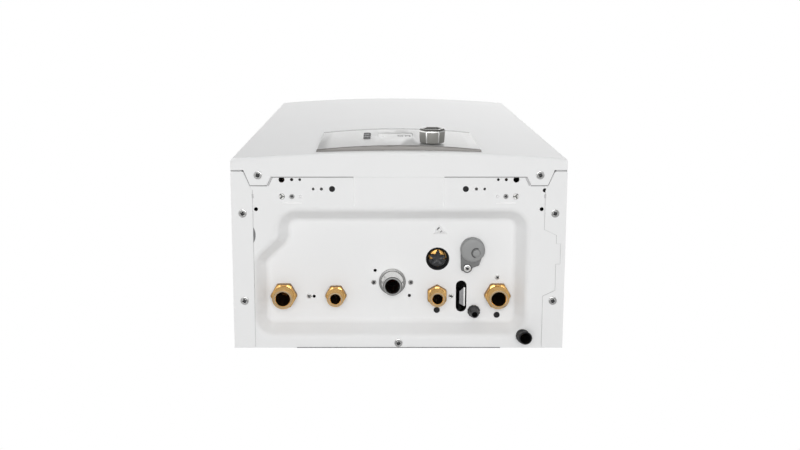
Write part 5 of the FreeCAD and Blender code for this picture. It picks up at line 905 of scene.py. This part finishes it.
# %% Nozzle and plugs
# Painted shade: the black bore finish stands for the shade inside the nozzle's bore.
moulded("nozzle_bore_painted_shade", (0.003, 0.003, 0.003), 0.8, 1400.0, 30, gloss=0.05)
moulded("nozzle_barb_grey", (0.045, 0.045, 0.047), 0.42, 1400.0, 30, gloss=0.4)
DRAIN_LINE = (92.6, -42.0)
FLUTES, FLUTE_DEPTH = 12.0, 0.45
BORE_REACH, BARBS_TOP = 3.4, 13.0


def fluted(angle, radius):
    return radius - FLUTE_DEPTH * (0.5 + 0.5 * cos(FLUTES * angle))


shape = bmesh.new()
rings = rings_of(DRAIN_LINE, (
    (3.0, 17.7), (3.0, 1.7), (3.5, 1.2), (4.3, 1.2), (4.6, 1.6), (5.2, 4.6), (4.8, 5.0), (5.6, 8.4),
    (5.2, 8.8), (6.0, 12.6), (6.6, 13.2)))
rings += rings_of(DRAIN_LINE, ((7.2, 13.2), (7.7, 13.8), (7.8, 14.4), (7.8, 17.0), (7.4, 17.7)), fluted)
stack(shape, rings, hollow=True)
# A disc inside the bore, painted black as shade.
stack(shape, rings_of(DRAIN_LINE, ((3.05, 8.0), (3.05, 7.0))))
for face in shape.faces:
    spot = face.calc_center_median()
    face.material_index = 1 if off_axis(spot, DRAIN_LINE) < BORE_REACH else 2 if spot.z < BARBS_TOP else 0
piece("drain_hose_nozzle", shape, "black_plastic", body="drain_nozzle", replaced="drain_nozzle",
      sharp=35.0, extra=("nozzle_bore_painted_shade", "nozzle_barb_grey"))


def turned_piece(name, slot, centres, profile, hollow=False, steps=STEPS, **more):
    """Piece from one profile, turned on one or more centres."""
    shape = bmesh.new()
    for centre in centres:
        stack(shape, rings_of(centre, profile, steps=steps), hollow)
    piece(name, shape, slot, **more)


turned_piece("hole_plug_pair", "black_rubber", ((47.2, -43.0), (121.0, -36.8)), (
    (2.2, 24.0), (3.0, 22.4), (3.0, 19.2), (2.6, RECESS_FLOOR), (3.5, RECESS_FLOOR), (3.8, 17.6),
    (3.6, 17.0), (3.0, 16.6), (2.1, 16.4), (1.2, 16.7), (0.4, 16.8)), steps=48,
    replaced="hole_plugs", sharp=50.0)

# %% [markdown]
# ## Relief hose
#
# The safety valve blows off through a short black hose at the rear corner. Rubber never hangs quite
# straight, so the stack of rings leans towards the front below the plate. Its end is rounded and
# open.

# %% Leaning hose
HOSE_LINE, HOSE_LEAN = Vector((151.5, -15.0, 0.0)), Vector((0.5, -4.5, 0.0))
HOSE_END, HOSE_TOP = -22.0, 62.0
HOSE_BORE, HOSE_REACH, LEAN_POWER = 6.3, 8.0, 1.4


def hose_ring(radius, level):
    lean = HOSE_LEAN * (level / HOSE_END) ** LEAN_POWER if level < 0.0 else Vector()
    return ring(HOSE_LINE + lean, radius, level)


bends = (0.0, -8.0, -15.0)
inner = [(HOSE_BORE, level) for level in (HOSE_TOP, *bends, HOSE_END + 0.6)] + [(6.8, HOSE_END)]
outer = [(7.4, HOSE_END), (7.9, HOSE_END + 0.5)]
outer += [(HOSE_REACH, level) for level in (HOSE_END + 1.2, *reversed(bends), HOSE_TOP)]
shape = bmesh.new()
stack(shape, [hose_ring(radius, level) for radius, level in inner + outer], hollow=True)
piece("relief_hose", shape, "black_rubber", replaced="relief_tube", sharp=45.0)

# %% [markdown]
# ## Filling tap
#
# Behind a round opening sits the filling tap: a brass body with its collar, a black star knob and a
# black guard that hides the rear of the brass. A rubber ring lines the opening. The star is a stack
# whose reach swings five times round, with one arm to the front and a rim painted lighter as a
# highlight.

# %% Star knob
# Painted highlight: the lighter edge finish stands for light on the star's rim.
moulded("black_edge_painted_highlight", (0.10, 0.105, 0.115), 0.3, 900.0, 20)
TAP_LINE = (47.7, -107.5)
STAR_REACH, STAR_ARMS, STAR_TURN = 9.6, 5.0, radians(85.0)
STAR_CORE, STAR_ARM, ARM_POWER = 0.56, 0.44, 1.3
HIGHLIGHT_LOW, HIGHLIGHT_HIGH = 21.0, 21.5


def star(angle, radius):
    wave = 0.5 + 0.5 * cos(STAR_ARMS * (angle + STAR_TURN))
    return radius * (STAR_CORE + STAR_ARM * wave ** ARM_POWER)


shape = bmesh.new()
star_profile = ((0.98, 25.2), (1.0, 24.8), (1.0, 22.0), (0.975, 21.4), (0.93, 21.0), (0.88, 21.0),
                (0.80, 21.8), (0.45, 22.2), (0.2, 22.2))
stack(shape, rings_of(TAP_LINE, [(share * STAR_REACH, level) for share, level in star_profile], star))
# Faces of the rim take the lighter finish painted as a highlight.
for face in shape.faces:
    lit_rim = HIGHLIGHT_LOW < face.calc_center_median().z < HIGHLIGHT_HIGH and len(face.verts) == 4
    face.material_index = 1 if lit_rim else 0
stack(shape, rings_of(TAP_LINE, ((3.0, 35.0), (3.0, 25.0))))
piece("tap_star", shape, "black_plastic", body="filling_tap_knob", replaced="filling_tap_knob",
      sharp=40.0, extra=("black_edge_painted_highlight",))

# %% Collar, guard and opening ring
turned_piece("tap_collar", "brass_fitting", [TAP_LINE], (
    (3.4, 35.2), (3.4, 26.0), (9.0, 26.0), (9.8, 26.5), (10.0, 27.4), (10.0, 35.2)), hollow=True,
    sharp=35.0, main="forged_brass")

shape = bmesh.new()
guard = arc(TAP_LINE, 3.6, 165.0, 15.0, 24) + arc(TAP_LINE, 11.4, 15.0, 165.0, 40)
plate(shape, guard, ((0.1, 25.35), (0.0, 25.45), (0.0, 25.85), (0.1, 25.95)))
piece("tap_guard", shape, "black_plastic", sharp=40.0)

turned_piece("tap_opening_ring", "black_rubber", [TAP_LINE], (
    (14.2, 18.1), (14.2, 22.6), (12.2, 24.2), (11.2, 23.4), (11.3, 22.6), (12.6, 19.0), (13.4, 18.0)),
    hollow=True, sharp=50.0)

# %% [markdown]
# ## Bracket behind the slot
#
# A bent steel bracket shows through the long slot. It is a flange with slanted ends and a web that
# rises from its right edge. Both are thin plates, so the outline is stacked over the sheet's
# thickness. The web is painted brighter as a highlight on its lit edge.

# %% Bent bracket
worked("bracket_steel", (0.22, 0.22, 0.225), 0.5, 400.0, 30, mottle=0.1)
# Painted highlight: the bright finish of the web stands for light on its edge.
worked("bracket_web_painted_highlight", (0.66, 0.66, 0.65), 0.4, 600.0, 20)
flange = [(75.0, -66.3), (79.6, -70.2), (80.6, -70.2), (80.6, -48.0), (79.6, -48.0), (75.0, -50.4)]
web = [(80.0, -71.4), (81.8, -71.4), (81.8, -47.8), (80.0, -47.8)]
shape = bmesh.new()
plate(shape, flange, ((0.2, 19.8), (0.0, 20.0), (0.0, 20.8), (0.2, 21.0)))
flange_faces = len(shape.faces)
plate(shape, web, ((0.2, 19.0), (0.0, 19.2), (0.0, 27.8), (0.2, 28.0)))
# The web takes the bright finish painted as a highlight.
paint(shape, flange_faces, 1)
piece("slot_bracket_plate", shape, "galvanised_steel", replaced="slot_bracket", main="bracket_steel",
      extra=("bracket_web_painted_highlight",))

# %% [markdown]
# ## Small things on the bottom plate
#
# Two small studs sit beside the box screws, two black posts in the holes under the control box are
# painted shade, and a lanced tab with a locating pin stands in the recess. A grey blank closes the left
# opening. They are all small, but the plate looks empty without them. The slits beside the pin are
# dark plates of painted shadow.

# %% Studs, buffers, tab and blank
turned_piece("plate_studs", "white_enamel", [(side * 117.5, FOOT_ROW) for side in SIDES], (
    (1.9, PLATE_FACE), (1.9, 0.2), (1.6, -0.4), (1.0, -0.8), (0.3, -0.9)), steps=40, sharp=50.0)
# Painted shade: black posts in the holes under the control box stand for the shade in those holes.
turned_piece("box_buffers", "black_rubber", [(side * 79.6, -197.0) for side in SIDES], (
    (4.6, 17.9), (4.6, 2.0), (4.0, 1.1)), steps=32, sharp=40.0)

moulded("pin_gap_shadow", (0.13, 0.13, 0.13), 0.6, 900.0, 20)
PIN_X, PIN_Y = PIN_LINE = (49.6, -144.2)
TAB_TIP, TAB_LOW = 0.2, 14.8
tab = [(41.4, -138.2), (49.4, -149.6), (59.4, -138.8)]
tip = [(PIN_X + TAB_TIP * (x - PIN_X), PIN_Y + TAB_TIP * (y - PIN_Y)) for x, y in tab]
shape = bmesh.new()
stack(shape, [[Vector((x, y, RECESS_FLOOR)) for x, y in tab], [Vector((x, y, TAB_LOW)) for x, y in tip]])
stack(shape, rings_of(PIN_LINE, (
    (2.0, RECESS_FLOOR), (2.0, 13.7), (1.7, 13.1), (1.0, 12.8), (0.3, 12.8)), steps=40))
pin_faces = len(shape.faces)
for start, end in ((185.0, 275.0), (20.0, 75.0)):
    gap_line = arc(PIN_LINE, 3.1, start, end, 16) + arc(PIN_LINE, 2.05, end, start, 16)
    plate(shape, gap_line, ((0.0, 16.0), (0.0, 14.2)))
paint(shape, pin_faces, 1)
piece("locating_tab", shape, "white_enamel", sharp=30.0, extra=("pin_gap_shadow",))

moulded("knockout_grey", (0.19, 0.19, 0.195), 0.6, 900.0, 30)
PANEL_INSIDE = -198.4
blank = [(max(PANEL_INSIDE, x), y) for x, y in arc((-190.6, -141.0), 20.4, 0.0, 352.5, 48)]
shape = bmesh.new()
plate(shape, blank, ((0.4, 2.05), (0.0, 2.3), (0.0, 2.9), (0.4, 3.1)))
piece("knockout_blank", shape, "galvanised_steel", main="knockout_grey")

# %% [markdown]
# ## Split pegs
#
# Two white pegs hold the feet of the control box. Each is split into three springy arms that close
# when the peg is pushed through its hole. An arm is a third of a round bar with the slit taken off
# both sides, so its outline is two short runs and an arc, stacked along the peg.

# %% Three arms to a peg
PEG_X, PEG_REACH, PEG_BORE, SLIT = 139.5, 3.3, 1.3, 0.75
THIRD, SIXTH = 120.0, 60.0


def peg_arm(centre, turn):
    outline = []
    for radius, order in ((PEG_REACH, 1.0), (PEG_BORE, -1.0)):
        half = order * (degrees(asin(SLIT / radius)) - SIXTH)
        outline += arc(centre, radius, turn + half, turn - half, 12)
    return outline


shape = bmesh.new()
for side, first_turn in zip(SIDES, (SIXTH, THIRD)):
    for number in range(3):
        arm = peg_arm((side * PEG_X, FOOT_ROW), THIRD * number + first_turn)
        plate(shape, arm, ((0.0, 11.8), (0.0, 0.7), (0.15, 0.25), (0.5, 0.0)))
piece("split_peg_arms", shape, "white_plastic", replaced="split_pegs", sharp=40.0)

# %% [markdown]
# ## Beads of painted shadow and shade
#
# Thin grey beads of painted shadow run along the joint where the cover's lower flange and its two lugs
# lie on the bottom plate, with thicker pale beads of painted shade at the corners. Thin pale beads of
# painted shade follow the side flanges, and a dark bead of painted shadow runs along the wall edge. A
# bead follows a path, so a Geometry Nodes tree turns a chain of points into a line and sweeps a small
# round section along it.

# %% Bead tree
BEAD_CORNERS = 10
bead_tree, given = new_tree("swept_bead", Thickness="Float", Finish="Material")
chain = add(bead_tree, "GeometryNodeMeshToCurve", {"Mesh": given["Geometry"]})
end_tree(bead_tree, swept(bead_tree, chain[0], given["Thickness"], BEAD_CORNERS),
         {"Material": given["Finish"]})


def bead(points, level, thickness, label):
    """Bead along points of one level."""
    base = bpy.data.meshes.new("bead_path")
    links = [(i, i + 1) for i in range(len(points) - 1)]
    base.from_pydata([at(x, y, level) for x, y in points], links, [])
    return grow(bead_tree, base, {"Thickness": thickness * MM, "Finish": finishes[label]})


print("bead tree:", len(bead_tree.nodes), "nodes")

# %% Beads at the cover and the wall
# Painted shadow and shade: these dark, grey and pale finishes stand for the shadow along the joints and the
# shade on the edges.
moulded("dark_painted_shadow", (0.06, 0.06, 0.062), 0.85, 2600.0, 100, gloss=0.2)
moulded("grey_painted_shadow", (0.33, 0.33, 0.33), 0.85, 2600.0, 100, gloss=0.2)
moulded("pale_painted_shade", (0.46, 0.46, 0.46), 0.8, 2600.0, 100, gloss=0.2)
moulded("light_painted_shade", (0.52, 0.52, 0.52), 0.7, 2600.0, 100, gloss=0.2)
FLANGE_EDGE, LUG_EDGE, WALL_EDGE = -211.3, -201.0, -0.5
joint_beads = []
for side in SIDES:
    for path, level, thickness, label in (
            ([(54.0, FLANGE_EDGE), (152.0, FLANGE_EDGE)], 0.6, 0.5, "grey_painted_shadow"),
            ([(156.9, LUG_EDGE), (177.0, LUG_EDGE), (184.3, -218.3)], 0.7, 0.6, "grey_painted_shadow"),
            ([(151.2, -211.0), (155.8, LUG_EDGE - 0.4)], 0.9, 1.3, "light_painted_shade"),
            ([(174.6, -191.0), (174.4, -186.0)], 0.9, 1.2, "light_painted_shade")):
        joint_beads.append(bead([(side * x, y) for x, y in path], level, thickness, label))
grown_piece("joint_beads", joint_beads, "black_rubber")
wall_bead = bead([(-124.0, WALL_EDGE), (124.0, WALL_EDGE)], 0.5, 0.42, "dark_painted_shadow")
grown_piece("wall_bead", [wall_bead], "black_rubber")

# %% Beads along the side flanges
SIDE_EDGE, NOTCH_EDGE, NOTCH_DEEP = 174.5, 189.2, 194.4
FRONT_END, REAR_END = -195.7, -1.5
notch = [(SIDE_EDGE, FRONT_END), (SIDE_EDGE, -148.0), (NOTCH_EDGE, -141.0), (NOTCH_EDGE, -130.5),
         (NOTCH_DEEP, -130.5), (NOTCH_DEEP, -105.2), (NOTCH_EDGE, -105.2), (NOTCH_EDGE, -72.4),
         (SIDE_EDGE, -65.4), (SIDE_EDGE, REAR_END)]
straight = [(-SIDE_EDGE, FRONT_END), (-SIDE_EDGE, REAR_END)]
side_beads = [bead(path, 0.5, 0.34, "pale_painted_shade") for path in (notch, straight)]
grown_piece("side_beads", side_beads, "black_rubber")

# %% [markdown]
# ## Pressed ridges
#
# The bottom plate is stiffened by low pressed ridges, two that run to the front and one beside each
# foot of the control box. The bead tree serves once more: a round section half sunk in the sheet
# looks like a pressed ridge, painted brighter than the enamel as a highlight.

# %% Pressed ridges of the bottom plate
# Painted highlight: the ridges' white is brighter than the enamel to stand for light on their edges.
moulded("ridge_painted_highlight", (0.93, 0.93, 0.93), 0.35, 900.0, 20, mottle=0.004, gloss=0.3, vary=0.01)
RIDGE = 0.6
ridges = []
for side in SIDES:
    for path, level in (([(53.5, -210.6), (53.5, -176.4)], 0.35),
                        ([(139.0, -180.0), (116.0, -180.0)], 0.95)):
        ridges.append(bead([(side * x, y) for x, y in path], level, RIDGE, "ridge_painted_highlight"))
grown_piece("plate_ridges", ridges, "white_enamel")
